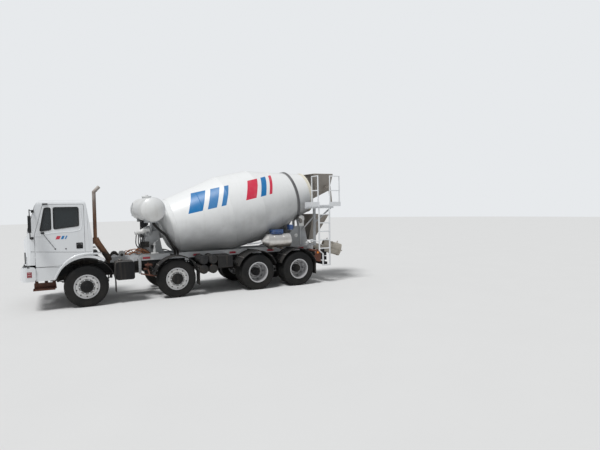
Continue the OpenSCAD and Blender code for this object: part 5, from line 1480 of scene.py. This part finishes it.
@dataclass(frozen=True)
class MixerTrim:
    """Welds, hatch and filler of the drum and tanks, and loose gear on the tank."""

    # Distance along the axis and radius of each drum seam
    seams: Profile = (
        (0.383, 0.825), (1.181, 0.984), (1.979, 1.143), (2.470, 1.138), (2.962, 1.133),
        (3.618, 0.9625))
    tank_s: float = 1.69
    tank_z: float = 2.42
    tank_r: float = 0.325

    def ring(self, name: str, along: float, radius: float, wide: float = 0.012,
             tall: float = 0.004) -> Piece:
        """Makes a weld ring round the drum's axis."""
        axis = (math.cos(PLAN.drum_slope), 0, math.sin(PLAN.drum_slope))
        return Bench.turned(name, PLAN.on_drum(0, 0, 0), axis, (
            (radius - 0.004, along - wide), (radius + tall, along - wide * 0.3),
            (radius + tall, along + wide * 0.3), (radius - 0.004, along + wide),
            (radius - 0.004, along - wide)), 72, closed=False)

    def drum(self) -> None:
        """Welds the drum's seams and bolts a hatch to its far side."""
        parts = [self.ring("drum_seam", along, radius) for along, radius in self.seams]
        place_all("drum_seams", parts, Body.DRUM, "drum_white")
        along, radius, turn = 2.45, 1.136, 215.0
        centre = Vector(PLAN.on_drum(along, radius, turn))
        out = (centre - Vector(PLAN.on_drum(along, 0, 0))).normalized()
        hatch = Bench.turned("hatch", tuple(centre - out * 0.02), tuple(out), (
            (0.24, 0.0), (0.24, 0.034), (0.225, 0.040), (0.19, 0.046), (0.05, 0.050)), 40)
        place_on(hatch, Body.DRUM, "truck_white")
        across = out.cross(Vector((0, 0, 1))).normalized()
        up = out.cross(across)
        fixings = []
        for k in range(10):
            turn = math.radians(36 * k)
            spot = centre + out * 0.019 + (across * math.cos(turn) + up * math.sin(turn)) * 0.212
            fixings.append((tuple(spot), tuple(out)))
        place_on(bolts("hatch_bolts", fixings, 0.014), Body.DRUM, "bolt_steel", "rim_silver")

    def water_tank(self) -> None:
        """Adds weld seams, a filler cap and a level glass to the water tank."""
        r, front = self.tank_r, self.tank_s - self.tank_r
        parts = [turned("tank_seam", (self.tank_s, y, self.tank_z), (0, 1, 0), (
            (r - 0.002, -0.012), (r + 0.004, -0.004), (r + 0.004, 0.004), (r - 0.002, 0.012),
            (r - 0.002, -0.012)), 56, closed=False) for y in (-0.975, -0.33, 0.33, 0.975)]
        parts.append(turned("tank_cap", (self.tank_s, 0, self.tank_z + 0.36), (0, 0, 1), (
            (0.135, -0.01), (0.135, 0.018), (0.125, 0.026), (0.045, 0.032), (0.045, 0.05),
            (0.03, 0.055)), 36))
        place_all("tank_fittings", parts, Body.CHASSIS, "truck_white")
        glass = rod("tank_gauge", ((front - 0.012, 0.55, self.tank_z - 0.2),
                                   (front - 0.020, 0.55, self.tank_z),
                                   (front + 0.02, 0.55, self.tank_z + 0.2)), 0.009)
        place_on(glass, Body.CHASSIS, "lamp_clear")

    def crate(self) -> None:
        """Builds the open blue crate that is tied on the side tank."""
        s0, s1, y0, y1, z0, z1 = 5.17, 5.52, -1.05, -0.81, 1.612, 1.742
        slat, wall = 0.030, 0.008
        boards = [((s0, y0, z0), (s1, y1, z0 + 0.01))]
        for z in (z0, z0 + 0.05, z1 - 0.035):
            top = z + slat
            boards += [((s0, y0, z), (s1, y0 + wall, top)), ((s0, y1 - wall, z), (s1, y1, top)),
                       ((s0, y0, z), (s0 + wall, y1, top)), ((s1 - wall, y0, z), (s1, y1, top))]
        for s in (s0, (s0 + s1) / 2 - 0.012, s1 - 0.024):
            boards += [((s, y, z0), (s + 0.024, y + 0.012, z1)) for y in (y0 - 0.003, y1 - 0.009)]
        parts = [box("crate_board", low, high, 0.002) for low, high in boards]
        place_all("blue_crate", parts, Body.CHASSIS, "crate_blue")

    def build(self) -> None:
        """Builds the mixer's trim."""
        self.drum()
        self.water_tank()
        self.crate()


@dataclass(frozen=True)
class CabLines:
    """Pressed creases, dark lines of painted shade along the panel gaps, the arch lip and the entry
    step of the cab.
    """

    trim: CabTrim = CabTrim()
    bead: float = 0.010
    gap: float = 0.0035
    lip: float = 0.029
    lip_y: float = 1.192
    # Lines as name, body and points (distance behind the axle, height)
    creases: tuple[tuple[str, Body, Profile], ...] = (
        ("belt_crease_door", Body.DOOR_LEFT, (
            (-1.08, 1.835), (-0.73, 1.895), (-0.13, 1.945), (-0.085, 1.99), (-0.085, 2.49))),
        ("pillar_crease", Body.CAB, ((0.045, 2.50), (0.05, 2.0), (0.09, 1.40))))
    # Thin dark lines of painted shade along the panel gaps
    gaps: tuple[tuple[str, Body, Profile], ...] = (
        ("panel_gap_front", Body.CAB, ((-1.19, 1.470), (-1.115, 1.465))),
        ("panel_gap_door", Body.DOOR_LEFT, ((-1.08, 1.460), (-0.55, 1.425), (-0.035, 1.395))),
        ("panel_gap_rear", Body.CAB, ((0.0, 1.393), (0.14, 1.385))),
        ("skirt_gap", Body.CAB, ((-1.14, 1.085), (-0.86, 1.075), (-0.60, 1.060))))
    arch: Profile = (
        (-0.705, 0.775), (-0.625, 0.93), (-0.53, 1.075), (-0.40, 1.205), (-0.24, 1.295),
        (-0.03, 1.345), (0.16, 1.352))

    def lines(self, runs: Iterable[tuple[str, Body, Profile]], radius: float, finish: str) -> None:
        """Runs lines along both side walls.

        Args:
            runs: name, body and points (distance behind the axle and height) of each line.
            radius: half the lines' thickness.
            finish: name of their finish.
        """
        for name, body, points in runs:
            run = [self.trim.skin(s, z, -radius * 0.35) for s, z in points]
            place_pair(name, [Bench.tube(name, run, radius)], body, finish, "body_white")

    def wheel_arch(self) -> None:
        """Rolls the raised lip round the wheel arch and ends it as a ledge behind the cab."""
        parts = [rod("arch_lip", [(s, -self.lip_y, z) for s, z in self.arch], self.lip),
                 box("arch_ledge", (0.14, -self.lip_y - 0.014, 1.318), (0.37, -0.88, 1.350), 0.010)]
        place_pair("arch_lip", parts, Body.CAB, "cab_white")

    def step(self) -> None:
        """Hangs the rusty entry step and its brackets under the cab's floor."""
        low, high = -1.18, -0.70
        parts = [box("step_tread", (low, -1.05, 0.495), (high, -0.84, 0.535), 0.008),
                 box("step_back", (low + 0.02, -0.86, 0.50), (high - 0.02, -0.835, 0.66), 0.005)]
        for s in (low + 0.03, (low + high) / 2, high - 0.07):
            parts.append(Bench.plate("step_hanger", behind((
                (s, -0.86, 0.50), (s + 0.10, -0.86, 0.50), (s + 0.075, -0.80, 0.74),
                (s + 0.01, -0.80, 0.74))), (0, 0.012, 0), 0.002))
        for k in range(7):
            s = low + 0.05 + k * 0.062
            parts.append(box("step_tooth", (s, -1.04, 0.533), (s + 0.016, -0.85, 0.543), 0.002))
        place_pair("entry_step", parts, Body.CHASSIS, "oxide_red")

    def build(self) -> None:
        """Builds the lines."""
        self.lines(self.creases, self.bead, "cab_white")
        # Paints shade into the panel gaps as thin dark lines
        self.lines(self.gaps, self.gap, "rubber_and_gap_shade")
        self.wheel_arch()
        self.step()


@dataclass(frozen=True)
class WheelTrim:
    """Convex discs, hub covers, rims and valves of the wheels."""

    steer_face: float = 0.132

    def disc(self, name: str, centre: Point, out: float) -> Piece:
        """Makes the rounded silver ring that fills a front wheel from nuts to rim."""
        face = self.steer_face
        return Bench.turned(name, centre, (0, out, 0), (
            (0.192, face - 0.004), (0.196, face + 0.004), (0.222, face + 0.009),
            (0.250, face + 0.006), (0.272, face - 0.006), (0.287, face - 0.020),
            (0.287, face - 0.030), (0.192, face - 0.012), (0.192, face - 0.004)), 60,
            closed=False)

    def circle(self, centre: Vector, out: float, radius: float, face: float, count: int = 10,
               first: float = 0.0) -> list[tuple[Point, Point]]:
        """Spreads places evenly round a wheel.

        Args:
            centre: middle of the wheel.
            out: the outward direction along Y, -1 or 1.
            radius: how far the places lie from the axle.
            face: how far they lie outward of the middle.
            count: number of places.
            first: angle of the first, in degrees.

        Returns:
            The point and outward direction of each place.
        """
        places = []
        for k in range(count):
            turn = math.radians(first + 360 / count * k)
            spot = centre + Vector((radius * math.cos(turn), out * face, radius * math.sin(turn)))
            places.append((tuple(spot), (0, out, 0)))
        return places

    def hole_shades(self, name: str, centre: Vector, out: float) -> Piece:
        """Makes dark discs of painted shade where the hand holes sit in the front wheel's ring."""
        places = self.circle(centre, out, 0.247, self.steer_face + 0.003, first=18)
        return Bench.joined(name, [Bench.turned(name, spot, axis, (
            (0.017, 0.0), (0.017, 0.0042), (0.014, 0.0050)), 16) for spot, axis in places])

    def hub(self, name: str, centre: Point, out: float) -> Piece:
        """Makes the black hub cover of a front wheel."""
        face = self.steer_face
        return Bench.turned(name, centre, (0, out, 0), (
            (0.147, face), (0.150, face + 0.006), (0.150, face + 0.028), (0.140, face + 0.036),
            (0.126, face + 0.038), (0.122, face + 0.052), (0.100, face + 0.058),
            (0.060, face + 0.059), (0.055, face + 0.066)), 44)

    def front(self, node: str, centre: Vector, out: float) -> None:
        """Dresses one front wheel."""
        place_on(self.disc(f"wheel_ring_{node}", tuple(centre), out), node, "wheel_silver")
        # Dark discs of painted shade stand for the hand holes
        place_on(self.hole_shades(f"wheel_holes_{node}", centre, out), node, "frame_black_and_hole_shade")
        name, face = f"hub_cover_{node}", self.steer_face
        fixings = bolts("hub_bolts", self.circle(centre, out, 0.132, face + 0.036, 8), 0.008)
        place_all(name, [self.hub(name, tuple(centre), out), fixings], node, "frame_black_and_hole_shade")
        nuts = self.circle(centre, out, 0.171, face - 0.001)
        place_on(bolts(f"wheel_nuts_{node}", nuts, 0.016, 0.030), node, "mirror_face", "rim_silver")

    def rear(self, node: str, centre: Vector, out: float) -> None:
        """Gives one rear hub its black drum cap and bolts."""
        cap = Bench.turned("drum_cap", tuple(centre), (0, out, 0), (
            (0.121, 0.098), (0.124, 0.104), (0.124, 0.124), (0.112, 0.131), (0.085, 0.133),
            (0.080, 0.142), (0.045, 0.144), (0.040, 0.152)), 36)
        fixings = bolts("cap_bolts", self.circle(centre, out, 0.104, 0.130), 0.008)
        place_all(f"hub_cap_{node}", [cap, fixings], node, "frame_black_and_hole_shade")

    def rims(self, node: str, centre: Vector, out: float, steered: bool) -> None:
        """Rolls the bright outer edge of a rim and fits its valve."""
        edge = 0.1105 if steered else PLAN.twin_half + 0.1105
        ring = Bench.turned("rim_edge", tuple(centre), (0, out, 0), (
            (0.284, edge - 0.006), (0.284, edge + 0.008), (0.293, edge + 0.017),
            (0.303, edge + 0.015), (0.307, edge + 0.006), (0.303, edge - 0.002),
            (0.284, edge - 0.006)), 60, closed=False)
        root = centre + Vector((0.268, out * (edge - 0.03), 0.0))
        stem = Bench.tube("valve_stem", [tuple(root), tuple(root + Vector((-0.01, out * 0.04, 0))),
                                         tuple(root + Vector((-0.03, out * 0.055, 0)))], 0.005, 2)
        place_all(f"rim_edge_{node}", [ring, stem], node, "wheel_silver")

    def build(self) -> None:
        """Dresses every wheel."""
        for node in sorted(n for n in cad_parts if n.startswith("wheel")):
            low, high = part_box(node.replace("wheel", "tyre"))
            centre = (Vector(low) + Vector(high)) / 2
            out = -1.0 if centre.y < 0 else 1.0
            steered = node[6] in "12"
            (self.front if steered else self.rear)(node, centre, out)
            self.rims(node, centre, out, steered)


@dataclass(frozen=True)
class ChassisTrim:
    """Brackets, bars, straps and brake parts that hang along the frame."""

    oxide_bar: tuple[Point, ...] = ((1.34, -0.90, 0.700), (1.56, -0.90, 0.645), (1.79, -0.90, 0.600))
    brake_places: tuple[float, ...] = (4.60, 5.95)
    strap_lines: tuple[float, ...] = (-0.72, -0.99)

    def behind_cab(self) -> None:
        """Fixes the pale bracket with its hole, the dark bundle and the post behind the cab."""
        sheet = Bench.plate("lift_bracket", behind((s, -0.47, z) for s, z in (
            (0.84, 1.00), (1.00, 1.00), (1.00, 1.27), (0.96, 1.31), (0.87, 1.31), (0.84, 1.27))),
            (0, 0.03, 0), 0.004)
        post = box("frame_post", (1.335, -0.60, 0.66), (1.405, -0.545, 1.12), 0.006)
        foot = box("frame_post_foot", (1.32, -0.56, 1.02), (1.42, -0.42, 1.08), 0.004)
        place_all("lift_brackets", [sheet, post, foot], Body.CHASSIS, "pedestal_grey")
        eye = turned("lift_eye", (0.92, -0.4695, 1.20), (0, -1, 0), (
            (0.040, 0.0), (0.040, 0.003), (0.034, 0.004)), 24)
        bundle = [rod("bundle", ((0.62, -0.40 - 0.03 * k, 1.19), (0.72, -0.44, 1.25 + 0.02 * k),
                                 (0.83, -0.40, 1.20)), 0.028) for k in range(3)]
        place_all("lift_bundle", [eye, *bundle], Body.CHASSIS, "rubber_and_gap_shade")

    def oxide_parts(self) -> None:
        """Hangs the red oxide bar and brackets in front of the second axle."""
        parts = [rod("oxide_bar", self.oxide_bar, 0.020),
                 box("oxide_bracket", (1.47, -0.66, 0.76), (1.58, -0.44, 0.80)),
                 box("oxide_bracket", (1.50, -0.70, 0.86), (1.68, -0.50, 0.91)),
                 box("oxide_bracket", (1.55, -0.66, 0.73), (1.59, -0.62, 0.95)),
                 rod("oxide_stay", ((1.57, -0.64, 0.78), (1.57, -0.90, 0.65)), 0.016)]
        place_pair("oxide_brackets", parts, Body.CHASSIS, "oxide_red")

    def stays(self) -> None:
        """Braces the mudguards and runs air lines and clips along the rail."""
        parts = []
        for s, way in ((2.25, -1), (4.60, -1), (4.60, 1), (5.95, -1), (5.95, 1)):
            near = s + way * 0.60
            far = near + way * 0.03
            parts.append(rod("guard_stay", ((near, -1.10, 0.80), (far, -0.80, 0.86),
                                            (far, -0.44, 0.88)), 0.016))
        for k in range(3):
            z = 0.80 + 0.055 * k
            parts.append(rod("air_line", ((0.62, -0.436, z), (2.0, -0.436, z),
                                          (3.4, -0.436, z + 0.01), (4.1, -0.436, z)), 0.009))
        for s in (0.9, 1.3, 1.75, 2.7, 3.2, 3.9):
            parts.append(box("line_clip", (s, -0.450, 0.785), (s + 0.03, -0.420, 0.925), 0.003))
        place_pair("frame_lines", parts, Body.CHASSIS, "frame_black_and_hole_shade")

    def tank_straps(self) -> None:
        """Straps the fuel tank and bands the air tanks."""
        parts = []
        for y in self.strap_lines:
            line = rounded([(s, y, z) for s, z in (
                (0.701, 0.606), (1.159, 0.606), (1.159, 1.074), (0.701, 1.074))], 0.06)
            parts.append(rod("fuel_strap", line, 0.010, 2, smooth=False))
        cap = turned("fuel_cap", (0.83, -0.86, 1.068), (0, 0, 1), (
            (0.045, 0.0), (0.045, 0.03), (0.058, 0.032), (0.058, 0.055), (0.050, 0.062)), 28)
        place_all("fuel_straps", [*parts, cap], Body.CHASSIS, "bolt_steel")
        parts = []
        for s in (3.01, 3.28):
            for z in (0.98, 0.712):
                for y in (-0.70, -1.0):
                    parts.append(turned("air_band", (s, y, z), (0, 1, 0), (
                        (0.126, -0.014), (0.131, -0.014), (0.131, 0.014), (0.126, 0.014),
                        (0.126, -0.014)), 40, closed=False))
                parts.append(turned("air_end", (s, -1.118, z), (0, -1, 0), (
                    (0.122, -0.004), (0.112, 0.014), (0.080, 0.026), (0.028, 0.030),
                    (0.024, 0.042)), 32))
        place_pair("air_bands", parts, Body.CHASSIS, "air_tank_black")

    def brakes(self) -> None:
        """Mounts brake chambers behind the driven axles."""
        parts = []
        for s in self.brake_places:
            for k, y in enumerate((-0.36, -0.20)):
                parts.append(turned("brake_chamber", (s + 0.17, y, 0.60 + 0.02 * k), (1, 0, 0.15), (
                    (0.030, 0.0), (0.070, 0.010), (0.078, 0.05), (0.084, 0.055), (0.084, 0.075),
                    (0.078, 0.08), (0.072, 0.16), (0.040, 0.185), (0.012, 0.19)), 28))
        place_pair("brake_chambers", parts, Body.CHASSIS, "cast_dark")

    def build(self) -> None:
        """Builds the chassis trim."""
        self.behind_cab()
        self.oxide_parts()
        self.stays()
        self.tank_straps()
        self.brakes()


@dataclass(frozen=True)
class RearTrim:
    """Lamp lenses, reflector bracket and blank plate of the rear, and the ladder's flat bars."""

    bar: float = 6.91
    ladder_front: float = 6.69
    ladder_back: float = 7.07
    ladder_foot: float = 6.82
    ladder_y: float = -1.225
    ladder_top: float = 2.425
    rung_step: float = 0.268

    def lenses(self) -> None:
        """Sets red, amber and clear lenses on the rear lamp boxes."""
        s, wide, tall = self.bar + 0.075, 0.070, 0.080
        for side in Side:
            for finish, corners in (("lamp_red", ((0.985, 0.735), (1.065, 0.875))),
                                    ("lamp_amber", ((1.065, 0.735),)),
                                    ("lamp_clear", ((0.985, 0.875),))):
                parts = []
                for y, z in corners:
                    low, high = sorted((side.value * y, side.value * (y + wide)))
                    parts.append(box("lens", (s - 0.004, low, z), (s + 0.014, high, z + tall),
                                     0.008))
                name = f"rear_{finish}_{side.name.lower()}"
                place_all(name, parts, Body.CHASSIS, finish, "tail_red")

    def bracket(self) -> None:
        """Fits the rusty bracket with its reflector, and the blank rear plate."""
        sheet = Bench.plate("rear_bracket", behind((s, -1.105, z) for s, z in (
            (6.62, 0.70), (6.80, 0.66), (6.82, 1.06), (6.66, 1.07), (6.60, 0.94))),
            (0, 0.02, 0), 0.003)
        arms = [box("bracket_arm", (6.66, -1.09, z), (6.80, -0.42, z + 0.05), 0.006)
                for z in (0.78, 0.98)]
        place_pair("rear_bracket", [sheet, *arms], Body.CHASSIS, "oxide_red")
        lens = turned("side_reflector", (6.70, -1.105, 0.96), (0, -1, 0), (
            (0.038, -0.002), (0.038, 0.008), (0.030, 0.013)), 24)
        twin = Bench.mirrored(lens, "side_reflector_far")
        for part in (lens, twin):
            place_on(part, Body.CHASSIS, "lamp_amber")
        s = self.bar + 0.09
        plate = box("rear_plate_blank", (s - 0.002, -0.62, 0.545), (s + 0.006, -0.22, 0.675), 0.002)
        place_on(plate, Body.CHASSIS, "plate_blank")

    def ladder(self) -> None:
        """Covers the ladder with flat bars and wide rungs."""
        y, half, thick = self.ladder_y, 0.025, 0.013
        front, back, foot = self.ladder_front, self.ladder_back, self.ladder_foot
        top = self.ladder_top + 0.02
        parts = [box("ladder_bar", (s - half, y - thick, low), (s + half, y + thick, high), 0.006)
                 for s, low, high in ((front, 1.04, top), (back, 0.56, top), (foot, 0.56, 0.93))]
        parts.append(rod("ladder_bend", ((front, y, 1.06), (front, y, 1.03), (foot, y, 0.93),
                                         (foot, y, 0.90)), 0.021, smooth=False))
        rungs = [(front, self.ladder_top + 0.015 - k * self.rung_step, 0.018) for k in range(1, 6)]
        for s, z, tall in (*rungs, (foot, 0.565, 0.020)):
            parts.append(box("rung", (s, y - thick - 0.002, z - tall),
                             (back, y + thick + 0.002, z + tall), 0.008))
        place_all("ladder_bars", parts, Body.CHASSIS, "cab_white")

    def rails(self) -> None:
        """Thickens the platform's handrails and adds their foot plates."""
        out_y, in_y, deck, middle, top = -1.233, -0.837, 2.47, 2.925, 3.38
        front, back, end = 6.66, 7.09, 7.44
        parts = []
        for (s0, y0), (s1, y1) in (((front, out_y), (front, in_y)), ((back, out_y), (end, out_y))):
            parts += [rod("rail", ((s0, y0, deck), (s0, y0, top), (s1, y1, top), (s1, y1, deck)),
                          0.0225, smooth=False),
                      rod("rail", ((s0, y0, middle), (s1, y1, middle)), 0.018, smooth=False)]
            parts += [box("rail_foot", (s - 0.035, y - 0.020, deck - 0.004),
                          (s + 0.035, y + 0.030, deck + 0.012)) for s, y in ((s0, y0), (s1, y1))]
        place_all("platform_rails", parts, Body.CHASSIS, "cab_white")

    def build(self) -> None:
        """Builds the rear."""
        self.lenses()
        self.bracket()
        self.ladder()
        self.rails()


@dataclass(frozen=True)
class HopperTrim:
    """Rolled rims, ribs and handles of the hoppers and chutes, and the roller covers."""

    pivot: Point = (7.15, 0.0, 0.96)
    yaw: float = math.radians(-20.0)
    slope: float = math.radians(17.0)
    trough_r: float = 0.203
    trough_z: float = 0.215

    def on_chute(self, along: float, y: float, z: float) -> Point:
        """Returns the place of a point given in the chute's own frame."""
        heading = Matrix.Rotation(self.yaw, 3, "Z") @ Matrix.Rotation(self.slope, 3, "Y")
        return tuple(Vector(*behind([self.pivot])) + heading @ Vector((along, y, z)))

    def loop(self, name: str, s0: float, s1: float, half: float, z: float, radius: float) -> Piece:
        """Makes a rolled rim round a rectangular mouth."""
        line = rounded([(s0, -half, z), (s1, -half, z), (s1, half, z), (s0, half, z)], 0.05)
        return rod(name, line, radius, 2, smooth=False)

    def hoppers(self) -> None:
        """Rolls the rims of both hoppers."""
        place_on(self.loop("charging_rim", 6.90, 7.62, 0.56, 3.485, 0.017), Body.HOPPER,
                 "hopper_grey")
        place_on(self.loop("discharge_rim", 6.83, 7.42, 0.60, 2.142, 0.015), Body.CHASSIS,
                 "hopper_grey")

    def half_ring(self, along: float, sign: float, z: float) -> list[Point]:
        """Returns points half way round the trough."""
        return [self.on_chute(along, self.trough_r * math.cos(math.radians(a)),
                              z + sign * self.trough_r * math.sin(math.radians(a)))
                for a in range(0, 181, 12)]

    def chutes(self) -> None:
        """Ribs both chutes and fits the folding part's handles."""
        parts = [Bench.tube("chute_rib", self.half_ring(along, -1.0, self.trough_z), 0.009, 2)
                 for along in (0.56, 0.84)]
        for y in (-0.2275, 0.2275):
            parts.append(Bench.tube("chute_edge", [self.on_chute(-0.09, y, 0.206),
                                                   self.on_chute(0.80, y, 0.206)], 0.008, 2))
        place_all("main_chute_ribs", parts, Body.CHUTE, "chute_cream")
        top = self.trough_z + 0.010
        parts = [Bench.tube("chute_rib", self.half_ring(along, 1.0, top), 0.009, 2)
                 for along in (0.28, 0.58)]
        for along in (0.36, 0.74):
            high = top + self.trough_r - 0.01
            parts.append(Bench.tube("chute_handle", [
                self.on_chute(along, -0.07, high - 0.01), self.on_chute(along, -0.07, high + 0.05),
                self.on_chute(along, 0.07, high + 0.05), self.on_chute(along, 0.07, high - 0.01)],
                0.009, 3))
        place_all("fold_chute_ribs", parts, Body.FOLD, "chute_cream")

    def rollers(self) -> None:
        """Covers the roller bearings and bolts round plates to the pedestal."""
        parts = []
        for s, y, z, radius, tall in ((6.38, -0.598, 2.045, 0.105, 0.055),
                                      (6.20, -0.566, 1.50, 0.062, 0.024),
                                      (6.61, -0.566, 1.24, 0.062, 0.024)):
            parts.append(turned("roller_cover", (s, y, z), (0, -1, 0), (
                (radius, -0.02), (radius, tall * 0.6), (radius * 0.86, tall * 0.85),
                (radius * 0.45, tall), (radius * 0.40, tall + 0.012)), 32))
        parts.append(box("roller_foot", (6.29, -0.625, 1.80), (6.47, -0.575, 1.98), 0.012))
        place_pair("roller_covers", parts, Body.CHASSIS, "truck_white", "steel_grey")
        sheet = box("blue_sheet", (5.86, -0.80, 1.70), (6.00, -0.60, 1.86), 0.02)
        place_on(sheet, Body.CHASSIS, "crate_blue")
        pipe = rod("guard_pipe", ((4.40, -0.90, 1.335), (4.70, -0.90, 1.348), (4.80, -0.91, 1.36),
                                  (4.87, -0.93, 1.395)), 0.021)
        place_on(pipe, Body.CHASSIS, "cab_white")

    def build(self) -> None:
        """Builds the hopper and chute trim."""
        self.hoppers()
        self.chutes()
        self.rollers()


def main() -> None:
    """Builds the studio and every sub-assembly."""
    logging.basicConfig(level=logging.INFO, format="%(name)s: %(message)s")
    Studio().build()
    Dresser().dress()
    for assembly in (Tyres(), CabTrim(), NoseTrim(), GuardTrim(), Plumbing(), MixerTrim(),
                     CabLines(), WheelTrim(), ChassisTrim(), RearTrim(), HopperTrim()):
        assembly.build()
        log.info("built %s", type(assembly).__name__)


if __name__ == "__main__":
    main()
